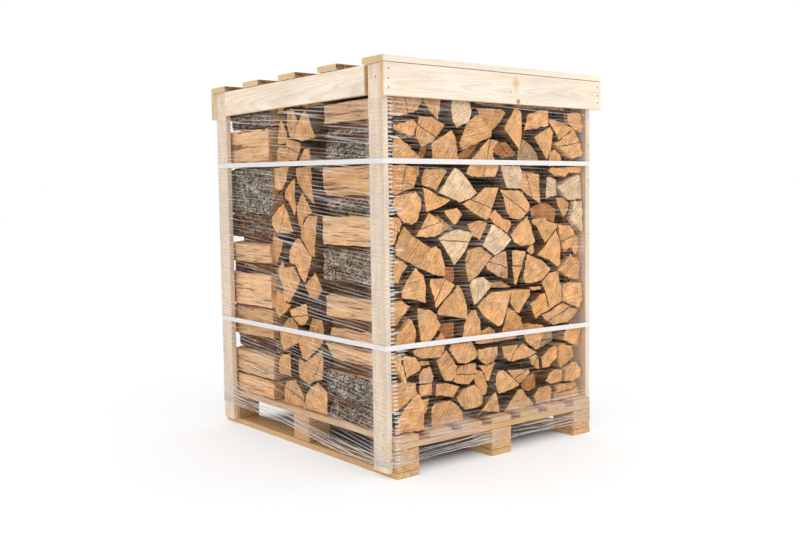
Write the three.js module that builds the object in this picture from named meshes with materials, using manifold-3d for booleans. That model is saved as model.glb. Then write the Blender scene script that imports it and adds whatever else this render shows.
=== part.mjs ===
// Pallet of firewood: split logs stacked in three rows on a wooden block pallet, held by four corner
// posts, a slatted lid, two plastic straps and a sleeve of stretch film.
// Millimetres, +Z up, X along the face that shows the log ends, Y into the depth.
// The origin is on the ground, under the middle of the whole load.

import * as THREE from 'three';
import { mergeVertices } from 'three/addons/utils/BufferGeometryUtils.js';
import Module from 'manifold-3d';

const wasm = await Module();
wasm.setup();

// Driving dimensions of the pallet
const PALLET_WIDTH = 1000;
const PALLET_DEPTH = 1200;
const BOARD = 22;
const BLOCK_HEIGHT = 78;
const BLOCK_WIDTH = 100;
const BLOCK_DEPTH = 110;
const DECK_BOARDS = 7;
const DECK_BOARD_WIDTH = 100;
const DECK_TOP = 3 * BOARD + BLOCK_HEIGHT;

// Driving dimensions of the posts and the lid
const POST_WIDTH = 80;
const POST_SETBACK = 22;
const POST_FOOT = 19;
const TOTAL_HEIGHT = 1433;
const SLAT_UNDERSIDE = TOTAL_HEIGHT - BOARD;
const LID_LENGTH = 1100;
const LID_SHIFT = 16;
const SLATS = 5;
const SLAT_WIDTH = 120;
const APRON_HEIGHT = 112;
const RAIL_HEIGHT = 101;
const RAIL_PROUD = 7.5;
const RAIL_END_GAP = 10;

// Driving dimensions of the film and the straps
const FILM_THICKNESS = 0.6;
const FILM_CLEARANCE = 0.4;
const FILM_TOP = 1296;
const FILM_OVER_DECK = DECK_TOP + 10;
const FILM_TIGHT_FROM = 428;
const FILM_LOWER_EDGE = [40, 48, 80, 90, 116, 118, 108, 116, 112, 96, 110, 116, 86, 38];
const STRAP_WIDTH = 18;
const STRAP_THICKNESS = 0.8;
const UPPER_STRAP_HEIGHTS = [1085, 1085, 1095, 1105];
const LOWER_STRAP_HEIGHTS = [452, 437, 448, 455];

// The rows of logs, measured along the depth of the pallet.
// A row's core stops short of the log ends by the end relief, and the stubs of the inner logs run
// back into it. Logs that reach above the whole-log height lie on top of a row.
const FRONT_ROW_START = 26;
const FRONT_ROW_END = 430;
const MIDDLE_ROW_START = 450;
const MIDDLE_ROW_END = 822;
const BACK_ROW_START = 842;
const BACK_ROW_END = 1174;
const ROW_SIDE = 60;
const ROW_TOP = 1330;
const END_RELIEF = 62;
const STUB = 90;
const LOG_SHY = 1;
const MIDDLE_SETBACK = 8;
const WHOLE_ABOVE = ROW_TOP + 15;
const BACK_STACK_WIDTH = 112;

// Pieces that touch in the real thing stand this far apart
const GAP = 0.3;
const BOARD_INSET = GAP / 2 + 0.01;

const MM_PER_CM = 10;

const CENTRE_X = PALLET_WIDTH / 2 + LID_SHIFT;
const CENTRE_Y = PALLET_DEPTH / 2;

const COLOURS = {
  pallet: { color: 0xc8a679, roughness: 0.85, metalness: 0 },
  block: { color: 0xb98a55, roughness: 0.9, metalness: 0 },
  spruce: { color: 0xe6d6b4, roughness: 0.75, metalness: 0 },
  log: { color: 0xc89055, roughness: 0.85, metalness: 0 },
  strap: { color: 0xf1f1ef, roughness: 0.4, metalness: 0 },
  film: { color: 0xeeeeee, roughness: 0.2, metalness: 0 },
};

const load = new THREE.Group();
load.position.set(-CENTRE_X, -CENTRE_Y, 0);

function addPiece(name, geometry, finish, { opacity = 1 } = {}) {
  const material = new THREE.MeshStandardMaterial({ ...COLOURS[finish] });
  material.transparent = opacity < 1;
  material.opacity = opacity;
  const mesh = new THREE.Mesh(geometry, material);
  mesh.name = name;
  load.add(mesh);
  return mesh;
}

// A sawn board or block that fills a box, less half of the gap on each face off the ground
function addBoard(name, finish, [x0, x1], [y0, y1], [z0, z1]) {
  const bottom = z0 === 0 ? 0 : z0 + BOARD_INSET;
  const top = z1 - BOARD_INSET;
  const size = [x1 - x0 - 2 * BOARD_INSET, y1 - y0 - 2 * BOARD_INSET, top - bottom];
  const board = addPiece(name, new THREE.BoxGeometry(...size), finish);
  board.position.set((x0 + x1) / 2, (y0 + y1) / 2, (bottom + top) / 2);
}

function span(start, length) {
  return [start, start + length];
}

// Pallet

function buildPallet() {
  const columns = ['left', 'centre', 'right'];
  const lines = ['front', 'middle', 'back'];
  const columnX = columns.map((_, i) => (i * (PALLET_WIDTH - BLOCK_WIDTH)) / 2);
  const lineY = lines.map((_, i) => (i * (PALLET_DEPTH - BLOCK_DEPTH)) / 2);

  columns.forEach((column, i) => {
    const across = span(columnX[i], BLOCK_WIDTH);
    addBoard(`bottom_board_${column}`, 'pallet', across, [0, PALLET_DEPTH], span(0, BOARD));
    lines.forEach((line, j) => {
      const along = span(lineY[j], BLOCK_DEPTH);
      addBoard(`block_${line}_${column}`, 'block', across, along, span(BOARD, BLOCK_HEIGHT));
    });
  });
  lines.forEach((line, j) => {
    const along = span(lineY[j], BLOCK_DEPTH);
    const height = span(BOARD + BLOCK_HEIGHT, BOARD);
    addBoard(`cross_board_${line}`, 'pallet', [0, PALLET_WIDTH], along, height);
  });
  const pitch = (PALLET_WIDTH - DECK_BOARD_WIDTH) / (DECK_BOARDS - 1);
  for (let i = 0; i < DECK_BOARDS; i += 1) {
    const across = span(i * pitch, DECK_BOARD_WIDTH);
    addBoard(`deck_board_${i + 1}`, 'pallet', across, [0, PALLET_DEPTH], span(DECK_TOP - BOARD, BOARD));
  }
}

// Posts and lid

function buildPosts() {
  const height = [POST_FOOT, SLAT_UNDERSIDE];
  const nearY = span(POST_SETBACK, POST_WIDTH);
  const farY = span(PALLET_DEPTH - POST_SETBACK - POST_WIDTH, POST_WIDTH);
  addBoard('post_front_left', 'spruce', [-BOARD, 0], nearY, height);
  addBoard('post_back_left', 'spruce', [-BOARD, 0], farY, height);
  addBoard('post_front_right', 'spruce', span(PALLET_WIDTH, BOARD), nearY, height);
  addBoard('post_back_right', 'spruce', span(PALLET_WIDTH, BOARD), farY, height);
}

function buildLid() {
  const across = span(CENTRE_X - LID_LENGTH / 2, LID_LENGTH);
  const apronHeight = [SLAT_UNDERSIDE - APRON_HEIGHT, SLAT_UNDERSIDE];
  addBoard('lid_apron_front', 'spruce', across, span(0, BOARD), apronHeight);
  addBoard('lid_apron_back', 'spruce', across, span(PALLET_DEPTH - BOARD, BOARD), apronHeight);

  const postInside = POST_SETBACK + POST_WIDTH + RAIL_END_GAP;
  const railY = [postInside, PALLET_DEPTH - postInside];
  const railHeight = [SLAT_UNDERSIDE - RAIL_HEIGHT, SLAT_UNDERSIDE];
  addBoard('lid_rail_left', 'spruce', span(-BOARD - RAIL_PROUD, BOARD), railY, railHeight);
  const rightRailStart = PALLET_WIDTH + BOARD + RAIL_PROUD;
  addBoard('lid_rail_right', 'spruce', span(rightRailStart, BOARD), railY, railHeight);

  const pitch = (PALLET_DEPTH - SLAT_WIDTH) / (SLATS - 1);
  const slatHeight = span(SLAT_UNDERSIDE, BOARD);
  for (let i = 0; i < SLATS; i += 1) {
    addBoard(`lid_slat_${i + 1}`, 'spruce', across, span(i * pitch, SLAT_WIDTH), slatHeight);
  }
}

// Film and straps: closed bands that run round the posts.
// A corner is [x, y, outward x, outward y], anticlockwise seen from above.
// A level gives the height at each corner, and how far the front and back walls stand out there.

function bandGeometry(corners, levels, thickness) {
  const count = corners.length;
  const positions = [];
  for (const wall of [0, 1]) {
    const out = wall * thickness;
    for (const level of levels) {
      corners.forEach(([x, y, outX, outY], i) => {
        const bulge = level.bulge ? level.bulge[i] : 0;
        positions.push(x + outX * out, y + outY * (out + bulge), level.heights[i]);
      });
    }
  }
  const vertex = (wall, level, i) => (wall * levels.length + level) * count + (i % count);
  const faces = [];
  const quad = (a, b, c, d) => faces.push(a, b, c, a, c, d);
  const top = levels.length - 1;
  for (let i = 0; i < count; i += 1) {
    for (let k = 0; k < top; k += 1) {
      quad(vertex(1, k, i), vertex(1, k, i + 1), vertex(1, k + 1, i + 1), vertex(1, k + 1, i));
      quad(vertex(0, k, i + 1), vertex(0, k, i), vertex(0, k + 1, i), vertex(0, k + 1, i + 1));
    }
    quad(vertex(1, top, i), vertex(1, top, i + 1), vertex(0, top, i + 1), vertex(0, top, i));
    quad(vertex(0, 0, i), vertex(0, 0, i + 1), vertex(1, 0, i + 1), vertex(1, 0, i));
  }
  const geometry = new THREE.BufferGeometry();
  geometry.setAttribute('position', new THREE.Float32BufferAttribute(positions, 3));
  geometry.setIndex(faces);
  return geometry;
}

// The film is tight round the posts, and below the lower strap it leans out over the edge of the deck.
// Its lower edge is dragged down to the near left post and rises to the other corners.
function buildFilm() {
  const left = -BOARD - FILM_CLEARANCE;
  const right = PALLET_WIDTH + BOARD + FILM_CLEARANCE;
  const front = POST_SETBACK - FILM_CLEARANCE;
  const back = PALLET_DEPTH - front;
  const edge = FILM_CLEARANCE;
  const corners = [
    [left, front, -1, -0.4],
    [-edge, front, 0, -1],
    [PALLET_WIDTH * 0.4, front, 0, -1],
    [PALLET_WIDTH * 0.7, front, 0, -1],
    [PALLET_WIDTH + edge, front, 0, -1],
    [right, front, 1, -0.4],
    [right, PALLET_DEPTH * 0.55, 1, 0],
    [right, back, 1, 0.4],
    [PALLET_WIDTH + edge, back, 0, 1],
    [PALLET_WIDTH / 2, back, 0, 1],
    [-edge, back, 0, 1],
    [left, back, -1, 0.4],
    [left, PALLET_DEPTH * 0.54, -1, 0],
    [left, PALLET_DEPTH * 0.25, -1, 0],
  ];
  const leansOut = corners.map(([, , outX]) => (outX === 0 ? POST_SETBACK : 0));
  const flat = (z, bulge) => ({ heights: corners.map(() => z), bulge });
  const levels = [
    { heights: FILM_LOWER_EDGE, bulge: leansOut },
    flat(FILM_OVER_DECK, leansOut),
    flat((FILM_OVER_DECK + FILM_TIGHT_FROM) / 2, leansOut.map((out) => out / 2)),
    flat(FILM_TIGHT_FROM),
    flat(FILM_TOP),
  ];
  addPiece('stretch_film', bandGeometry(corners, levels, FILM_THICKNESS), 'film', { opacity: 0.25 });
}

function buildStrap(name, cornerHeights) {
  const out = FILM_CLEARANCE + FILM_THICKNESS + GAP;
  const left = -BOARD - out;
  const right = PALLET_WIDTH + BOARD + out;
  const front = POST_SETBACK - out;
  const back = PALLET_DEPTH - front;
  const corners = [
    [left, front, -1, -1],
    [right, front, 1, -1],
    [right, back, 1, 1],
    [left, back, -1, 1],
  ];
  const levels = [-0.5, 0.5].map((side) => ({
    heights: cornerHeights.map((z) => z + side * STRAP_WIDTH),
  }));
  addPiece(name, bandGeometry(corners, levels, STRAP_THICKNESS), 'strap');
}

// Firewood.
// Each list below holds split logs, one a line, as seen on the face that shows their ends.
// A line is the setback of the sawn end in mm, and then the corners of the end, as pairs of
// distance along the face and height above the ground, in cm.

// Logs at the left side of the front row, seen along their whole length
const LEFT_LOGS = [
  [6, 2.3, 130.5, 12, 131.2, 16.5, 130.6, 14.2, 125.6, 7.8, 124.3, 2, 123.4],
  [4, 3.6, 120.9, 12.7, 123, 13.4, 121, 12.5, 116.8, 7.3, 117.8, 3.2, 119.3],
  [8, 3, 116.6, 5, 117.4, 10, 113.8, 15.5, 109.8, 14, 108.2, 2.2, 108],
  [2, 1.2, 107.4, 12.5, 107, 13.2, 102, 12, 99.3, 3, 96.9, 1, 100],
  [14, 3, 96, 6.7, 97.2, 13.6, 98.3, 15.5, 96.2, 16.2, 92.4,
    14.4, 87.8, 11.7, 86.6, 8.6, 87.4, 5.2, 90, 3, 93.2],
  [5, 0.5, 89.7, 5, 89.8, 6.5, 87.2, 2.8, 80, 0.5, 79],
  [20, 0.5, 77.8, 5, 76.6, 6.6, 72, 4.6, 66.8, 0.5, 66],
  [12, 1.4, 60.4, 6.5, 61, 10.2, 58.5, 7, 55.4, 3.6, 52, 1.6, 53],
  [6, 9.4, 54.8, 12.5, 50.4, 11.3, 44.2, 2, 44.5, 5, 50.4],
  [10, 0.6, 42.6, 5.5, 42, 6.3, 38.5, 7.8, 33.5, 8, 31, 5.5, 33.5],
  [8, 1.3, 32.4, 6.7, 32, 11.7, 31.5, 12.4, 28, 4.8, 22.7, 1.7, 22.3, 1, 25.4],
  [4, 12.4, 27.6, 15.5, 25, 15.3, 19, 15, 14.6, 1.4, 14.6, 4.4, 21.5, 8.6, 25],
];

// Logs at the right side of the front row
const RIGHT_LOGS = [
  [4, 90.3, 128.2, 96, 129, 98.8, 127.4, 99.6, 122.8, 99.4, 120.5, 94.2, 122.3, 91.8, 124, 90.7, 125.8],
  [2, 94.2, 121.8, 96.5, 119.7, 97.6, 116.6, 99.6, 113.5,
    99.4, 112, 93, 110.1, 82.8, 115.8, 85.3, 117.2, 90, 119.7],
  [9, 80.5, 105.8, 82.3, 106.9, 99.2, 107.6, 99.2, 104.9, 92.3, 104.7, 90, 103.5, 83.5, 103.7],
  [6, 96.8, 104.1, 98, 103.5, 98.8, 99.7, 99.5, 94.5, 91.5, 94.2, 84.5, 99.3, 90, 101.6, 94.2, 103.5],
  [3, 94.5, 93.5, 99.5, 94, 99.5, 80.8, 91.5, 86.5, 93.4, 89.7],
  [8, 85.3, 84.5, 92.2, 84.3, 97.6, 78.5, 90, 73.5, 88.8, 74, 88, 76.2, 86.5, 79.3],
  [22, 93.4, 76.4, 99, 80, 99.2, 73, 97, 72],
  [5, 88.8, 69.6, 92.2, 72, 96.5, 71.2, 98, 68, 97.2, 62.7, 95.7, 62, 88.8, 64.8, 85.5, 66.8],
  [3, 88, 61.3, 99, 60.8, 99.5, 60, 99.4, 53.5, 97.2, 50.4, 92.6, 52.3, 88.2, 54],
  [10, 90.5, 42.9, 99.2, 43.2, 98.5, 39.2, 96.8, 35.2, 92.2, 37, 88.8, 38, 89.5, 41],
  [16, 85.5, 36.5, 89.5, 37, 94.5, 35.5, 95.8, 30.5, 90, 28, 86.8, 27.3, 86, 32.5],
  [5, 89.2, 26.5, 92.2, 28.2, 95.7, 28.8, 99.2, 25.4, 98.4, 22.3, 94, 21.1, 88.8, 21.7],
  [8, 83, 20.9, 95.8, 20.6, 97.5, 17.5, 97.5, 14.6, 81.7, 14.6, 84.5, 19],
];

// Logs inside the front row, from the top down, of which only the ends show
const INNER_LOGS = [
  [14, 17, 130, 26, 131.2, 25, 128, 24, 122.8, 20.5, 125.8],
  [2, 30, 131, 38, 131, 39.2, 127, 37.8, 123, 31.7, 120.5, 29.8, 122.8, 29, 127],
  [0, 14, 123.9, 19.5, 124, 26.3, 121.4, 20, 115.1, 15.5, 113.4, 12.6, 116.6, 13, 120],
  [34, 20, 114.8, 20.3, 112, 18.5, 109.5, 16, 109, 17, 113],
  [7, 20.2, 114.9, 23, 116.4, 29.8, 119.7, 31.6, 117.2, 32.8, 109.5, 32.5, 107.6, 20, 107.8, 20.5, 112],
  [5, 41.3, 125.6, 43, 125.4, 49, 119.6, 48.8, 117.8, 35, 112.8, 33.6, 115, 36, 120.4, 37.5, 123],
  [12, 42, 128, 55.3, 128.3, 57.4, 127, 55, 124, 51.5, 121, 49.4, 119.8, 43.8, 124.8],
  [38, 36, 112, 46, 116, 46.6, 115, 41, 110, 34, 109.6],
  [9, 48, 117.4, 52.6, 116.2, 50.3, 113, 50, 111, 53.5, 107, 51.3, 103.2, 40, 103.2, 37, 104.4, 40, 110],
  [16, 53.4, 116.2, 57.6, 116.4, 63, 112, 61, 110.8, 55.7, 110, 50.8, 112.4],
  [3, 61.3, 129, 64.2, 128.2, 64.9, 126.6, 64.8, 119.3,
    63.2, 113.4, 55.7, 120.7, 55.5, 121.6, 59.5, 126.6],
  [8, 68.4, 127, 75.7, 128.8, 79.9, 128.8, 80, 123, 75, 122, 66.5, 120.7, 67.2, 122.8],
  [6, 80.3, 125.6, 85, 125, 91.5, 123, 94, 122, 85.3, 117.4, 83.8, 120.5, 81.8, 122.8, 80.2, 124.3],
  [10, 72, 118.5, 75, 120, 81.5, 122.6, 83.2, 120.5, 82.5, 116.6, 81.8, 113.6, 79.4, 110, 73.6, 116],
  [18, 65, 118, 68, 117.2, 71.8, 115, 74.5, 112.4, 75.5, 109.3, 75, 107.5, 63.5, 107.5, 64, 112],
  [7, 83.4, 114, 86.5, 112, 87.8, 109, 87, 107.4, 80, 107.4, 80.3, 112, 81.8, 113.4],
  [0, 53.8, 107.5, 63.4, 107.2, 64.5, 105.5, 64.2, 99.3, 63.4, 98.8, 56.3, 99.1, 54.5, 103.5],
  [11, 64.9, 103.5, 66.5, 105.5, 75, 104.5, 75.5, 93, 69.5, 96.2, 64.7, 98.9],
  [4, 78.4, 103.4, 80, 103.4, 84.2, 102, 83.8, 99.3, 84.3, 96, 78, 94.9, 78.2, 99.3],
  [13, 84.2, 95.5, 89, 95, 92.6, 92.8, 91.5, 89.3, 89.2, 87.2, 85.3, 92.8],
  [26, 71, 91.2, 76.8, 93.2, 81, 93.2, 86.5, 90.5, 85.3, 85.3, 79, 87, 72, 88],
  [8, 53.4, 98.5, 63.4, 98.3, 65.7, 97, 69.5, 93.2,
    69.7, 90.5, 64.5, 87, 59.2, 87.8, 57.2, 90, 55.5, 94.7],
  [5, 34.5, 93.5, 41.3, 96.3, 45.5, 99.3, 52.8, 99.3, 47.5, 88, 46, 87.4, 40, 90],
  [0, 30.3, 106.6, 33, 105.5, 37.5, 101.6, 39, 100, 41.5, 97.4,
    39.8, 96.2, 32.9, 94, 29.4, 95.3, 22.3, 97.8, 27, 103],
  [9, 17.5, 105.8, 25.5, 106.2, 27.5, 105.2, 22, 98.2, 20.5, 99.1, 16, 100.5, 16, 102.8],
  [24, 13.6, 106.8, 16, 106.8, 16, 104, 14.8, 103, 13.5, 105],
  [6, 16, 99.6, 19.4, 98.5, 23.6, 96.4, 29, 95, 25.5, 93, 17.8, 90.9, 17, 93.5],
  [10, 19, 90.9, 20.5, 90, 28.6, 84.8, 22, 82.1, 12.5, 82.4, 16.3, 87],
  [7, 25.2, 91.3, 32, 92.2, 34.6, 89.6, 31.7, 86.6, 30.5, 86.2, 27.5, 88.8],
  [28, 22.2, 89.2, 24.4, 89.7, 32, 84.8, 31, 83.5, 28.8, 84.9],
  [3, 7.3, 86.2, 10.5, 83.2, 19, 78.2, 11.7, 72.6, 3.4, 76.6, 3.4, 80, 6, 84.7],
  [0, 22.2, 81.7, 28.2, 84, 32.4, 84.5, 37, 83.5, 39, 82.4, 35.2, 76.2, 30, 71.6, 25.2, 78.2],
  [14, 37.5, 86.2, 44, 87.4, 47.8, 86.2, 43.6, 80, 39.8, 82],
  [2, 48.6, 85.8, 50.5, 85.2, 57.2, 81.5, 59.2, 79.7, 55, 76.2, 50, 74.2, 43.6, 78.2],
  [18, 48.8, 88.5, 52.2, 91.4, 55.7, 87.8, 60, 86.9, 60.3, 85, 58.4, 82.2, 55.3, 83.5, 51, 86.2],
  [5, 67.8, 88.5, 69.2, 85.8, 72.6, 78.5, 71, 77.4,
    65, 77, 60.7, 78.5, 58.6, 81.6, 60.7, 83.5, 64.5, 86.6],
  [3, 70.3, 87.2, 77.6, 87.6, 78.8, 86.4, 84.2, 85, 84.5, 83.5, 77.2, 77.6, 72.6, 84.3, 69.9, 85.8],
  [7, 83.8, 82.6, 85.9, 79.3, 86.7, 75, 86.5, 69, 85.5, 67.8, 79.9, 71, 73.4, 73.2, 76, 75, 79, 78],
  [22, 71, 77, 72.8, 77, 73.4, 74.3, 71.8, 73.2, 69, 75],
  [11, 60.3, 75.5, 67.6, 75, 67, 72.5, 62, 62.5, 61, 62.7, 60.3, 69],
  [6, 46, 71, 48.8, 73.3, 54.5, 75.5, 56.3, 75.5, 57.2, 69.3, 57.2, 65, 52, 66.3, 47, 69],
  [4, 36.7, 76.8, 42.5, 77.8, 49, 74.1, 45.7, 71, 42, 67.3, 37.5, 64.9, 36, 69.5, 35.4, 74],
  [9, 22, 79, 24, 77.4, 26.2, 71.5, 26.2, 67.9, 23, 68.2, 19.8, 69.4, 12.5, 72.2, 14, 74.8, 18, 77.6],
  [15, 3.6, 75.8, 7, 74.5, 9.8, 72.6, 7, 70, 5, 66.5, 3, 67.8, 3.2, 72],
  [8, 12.2, 71.8, 15.9, 68.8, 17, 65.4, 17, 59.2, 13.2, 60.4, 6.7, 61.5, 6.3, 63.5, 8.6, 67.7],
  [5, 19, 67.5, 26, 67.1, 30.3, 64.8, 28.2, 61.9, 23.6, 58.5, 21.3, 56.5, 20, 62.3, 18.6, 65],
  [30, 27, 71.3, 32, 70.8, 32.4, 66, 30.7, 65.2, 26.7, 67.6],
  [3, 32, 64.4, 34, 62.3, 36, 56.5, 36, 52.3, 35, 51.9,
    26.7, 53.7, 22, 54.4, 22, 55.8, 25.5, 59.6, 29, 61.5],
  [7, 39.4, 66, 45.2, 66.3, 49.4, 63.8, 48.6, 62.3, 42.5, 57.9, 40, 56.4, 38.6, 60.4, 37.7, 63.8],
  [20, 50, 64.2, 55, 64.4, 59.9, 61.7, 57, 61.5, 50, 62.1, 49, 63.5],
  [2, 48.5, 60.6, 59.3, 60.6, 57.8, 57.5, 55.8, 52.5,
    53.7, 48.2, 51.6, 47.5, 44.4, 52, 41.3, 55.8, 43.6, 58],
  [5, 67.6, 73.9, 75, 71.4, 80.5, 68, 81, 67, 75.7, 63.2, 70, 62.5, 66.5, 62.8, 65.3, 64.6, 65.7, 67.3],
  [9, 80, 66, 85.5, 66.4, 86.2, 62.3, 87.6, 59.6, 87.6, 54, 85, 52.9, 81, 51.4, 78.8, 57.7, 75.8, 62.4],
  [21, 70.6, 61, 76.4, 61, 77, 59.6, 73, 59.2, 70.8, 60],
  [12, 60.3, 60.6, 69.8, 60.3, 69.8, 58, 63.8, 51.4, 61.8, 52.2, 59.4, 55.4, 59.6, 58],
  [4, 74.5, 58, 77.6, 58.2, 79, 54, 80.3, 51.4, 75, 50.2, 72.2, 48.4, 71, 50, 68.8, 54.6, 72.6, 56.2],
  [6, 56.8, 54.2, 60, 53, 64.5, 49.6, 65.3, 45.5, 65, 43.8, 53.4, 44, 55.7, 49.6],
  [13, 39, 54.6, 41, 54.6, 43.6, 50.4, 44, 45.8, 43.5, 43.8, 34.6, 43.8, 35.2, 48.8, 36.7, 52.3],
  [4, 12.9, 57.7, 19, 56.5, 21.7, 54.6, 23.4, 50.4, 20.5, 47.3, 18.2, 45.5, 18, 44, 14.3, 44, 13, 52],
  [33, 24, 50.8, 32.4, 50.6, 32, 45.5, 31.5, 44, 27, 44, 25, 48.3],
  [14, 20.6, 44.8, 24.6, 48, 26.5, 45, 26, 44, 20.6, 43.8],
  [25, 44.6, 46, 49, 47.6, 52.6, 45.6, 52.3, 44, 44.8, 44],
  [27, 65.8, 47, 71, 46.5, 79, 45.2, 79, 44, 65.8, 44],
  [9, 76, 49.8, 81.2, 50.6, 85.5, 52.6, 88.3, 53.3, 92.5, 51.6,
    97, 49.8, 94, 47, 91, 45.5, 83, 45, 78, 47.5],
  [7, 10.5, 43, 15, 43.6, 25.5, 43.4, 25.3, 41.5, 23.5, 39.2, 15, 39.8, 11.5, 41],
  [5, 28.2, 43.4, 38.6, 43.2, 40.5, 40.4, 42, 38, 39.8, 36.5, 35.5, 35.4, 32, 35.8, 27.2, 41.5],
  [10, 26.5, 41.3, 31.6, 35, 30.9, 31.5, 29, 29.9, 25.5, 30.2, 21.7, 38, 24, 39.4],
  [16, 6.9, 41.8, 12.5, 40.4, 15.2, 36.5, 14, 35, 10.5, 34.2, 8.4, 33.2, 7, 39],
  [30, 15.5, 33.8, 17.5, 35.8, 20.5, 35.8, 22.3, 32.3, 21.3, 30, 15.2, 30.2],
  [36, 14.8, 38.6, 20.3, 38, 21, 36.4, 17.5, 36.2, 15.6, 37],
  [32, 15.6, 29.6, 21.4, 29.8, 21.6, 27.5, 21.2, 25.6, 16, 25.6],
  [12, 21.9, 29.6, 26, 29.6, 33, 27.2, 31.3, 25.4, 29.8, 23.7, 24, 25, 21.4, 25.4],
  [8, 18.8, 21.5, 20.5, 23, 28, 22.7, 31.5, 20.8, 34.3, 17.5, 34, 14.6, 18.7, 14.6],
  [23, 15.9, 24.6, 19.3, 24.8, 18.3, 20, 16.5, 19, 15.7, 21],
  [11, 32, 34.5, 36, 35, 41, 35, 41.3, 30, 37.5, 27.4, 33, 28, 29.6, 29.5],
  [4, 39.8, 27.2, 42.5, 24.6, 44, 21.6, 43.6, 19.3, 41.3, 18.5,
    34.8, 18.5, 30.8, 22.2, 30.5, 23.8, 33.6, 26.2, 37.5, 26.9],
  [19, 41.6, 32.5, 45.2, 31.2, 47.6, 25.4, 46.7, 22.5, 44.8, 21.9, 41.5, 27, 40.6, 29],
  [22, 43, 39.6, 53, 39.8, 53.3, 36, 51.5, 34.4, 48, 33.3, 45, 34.5, 43.5, 36],
  [28, 44, 33.4, 49, 32.8, 52.8, 33.8, 51, 30.5, 49.3, 27, 47.8, 27, 46, 31],
  [9, 54, 39.6, 63.4, 39.6, 62.6, 38, 60, 36, 58.8, 33.2, 55, 35.5],
  [17, 41, 43.5, 52, 43.8, 63, 43, 62, 42, 52.5, 41.5, 44, 41.5, 42, 41.8],
  [6, 65.5, 40, 68.3, 37.5, 72.8, 35.5, 70, 34.3, 66, 33.8, 59.6, 33.2, 59.5, 34.8, 61, 37],
  [15, 69.7, 33.8, 73.5, 34.4, 75, 32, 75.5, 28, 73.5, 28.7, 70.7, 31],
  [10, 66, 43.4, 78, 43.2, 76, 40, 74.5, 36.7, 73, 36.2, 69.5, 38.5, 67, 41],
  [31, 78.5, 42.8, 84, 42.6, 85.5, 39, 81, 37.2, 76, 35.7, 75.2, 36.7, 76.7, 40],
  [7, 75.7, 32.8, 80, 35.8, 84, 36.8, 85, 35, 84.5, 32, 79.5, 28.8, 76.2, 28.5],
  [5, 80.3, 26.8, 82.6, 27.3, 87.7, 27, 87.3, 22, 80.3, 22, 77.5, 23.5],
  [12, 74.5, 21, 80.5, 21.3, 82, 19.7, 81, 14.6, 73.2, 14.6, 71.7, 18],
  [3, 62.2, 22.3, 64.2, 22, 67.2, 18.8, 71, 15.5, 70.5, 14.6, 54.2, 14.6, 58.5, 19],
  [6, 52.2, 30.6, 54.5, 30.8, 59.2, 27.3, 63.2, 24, 60, 22.8, 52.3, 21.7, 50.5, 25.4, 50.9, 28.8],
  [14, 57.8, 30.1, 69, 29, 69.8, 27.6, 64.5, 24.1, 60.3, 27],
  [18, 69.5, 26.8, 72.6, 27.2, 73.3, 21.4, 69.5, 20.2, 66, 21.4, 65, 23.5],
  [7, 44.5, 18, 49, 22, 51, 22.8, 52, 20, 53, 14.6, 40, 14.6, 44, 16.5],
];

// The logs on top of the front row, under the lid
const TOP_LOGS = [
  [18, 2.5, 131.6, 12.5, 132, 14, 136, 8, 138.6, 3, 137],
  [34, 13.6, 131.6, 24, 132.4, 22, 137.8, 16, 138.2],
  [20, 24.6, 132.2, 35, 131.8, 36.5, 134.5, 30, 139, 25, 136.5],
  [26, 36.6, 131.4, 46.5, 129.4, 48, 134, 42, 138.2, 38, 136.4],
  [36, 47.4, 129.4, 58, 129.6, 59, 134, 54, 138, 49, 135.8],
  [22, 59.2, 130, 68, 129.2, 69.5, 134, 64, 138.8, 60, 135],
  [30, 68.6, 129.2, 79, 129.8, 80, 135, 74, 138, 70, 136],
  [24, 80.4, 129.6, 90, 129.4, 91, 134.5, 85, 138.6, 81.5, 135.5],
  [28, 91, 129.8, 99, 129.8, 98.5, 136, 94.5, 138.4, 92, 136],
];

// Logs at the left side of the back row, in the same form, seen from the front
const BACK_LEFT_LOGS = [
  [12, 1.5, 137.4, 9, 138.2, 10.5, 131, 2, 130.4],
  [20, 3.4, 130.2, 11, 129.6, 10.5, 125.8, 3.8, 125.4],
  [6, 0.8, 124.4, 10.5, 125, 11, 117, 10, 110.4, 1, 109.8],
  [15, 1.4, 108.4, 8.5, 109.4, 11, 101, 9.5, 91, 2.6, 90],
  [10, 2, 89.6, 9.6, 90.6, 10.4, 85, 8, 79.8, 2.4, 81],
  [4, 0.8, 77.6, 8.5, 78.6, 10.6, 73, 9, 69.4, 1, 70.2],
  [18, 3.6, 68.8, 10.5, 68.6, 10.6, 66, 4, 66],
  [5, 0.6, 65.2, 9.5, 65.6, 11, 58, 9.2, 52.4, 0.8, 52.2],
  [9, 1, 51.2, 10.5, 51.6, 10.6, 45.5, 8.8, 39, 1.2, 39.4],
  [24, 4, 38.6, 10.5, 38.4, 9.5, 33, 4.6, 33.4],
  [7, 0.8, 32.2, 9, 32.8, 11, 26, 10, 22.6, 1, 22.8],
  [11, 0.8, 22, 10.5, 21.8, 11, 14.6, 0.8, 14.6],
];

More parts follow.
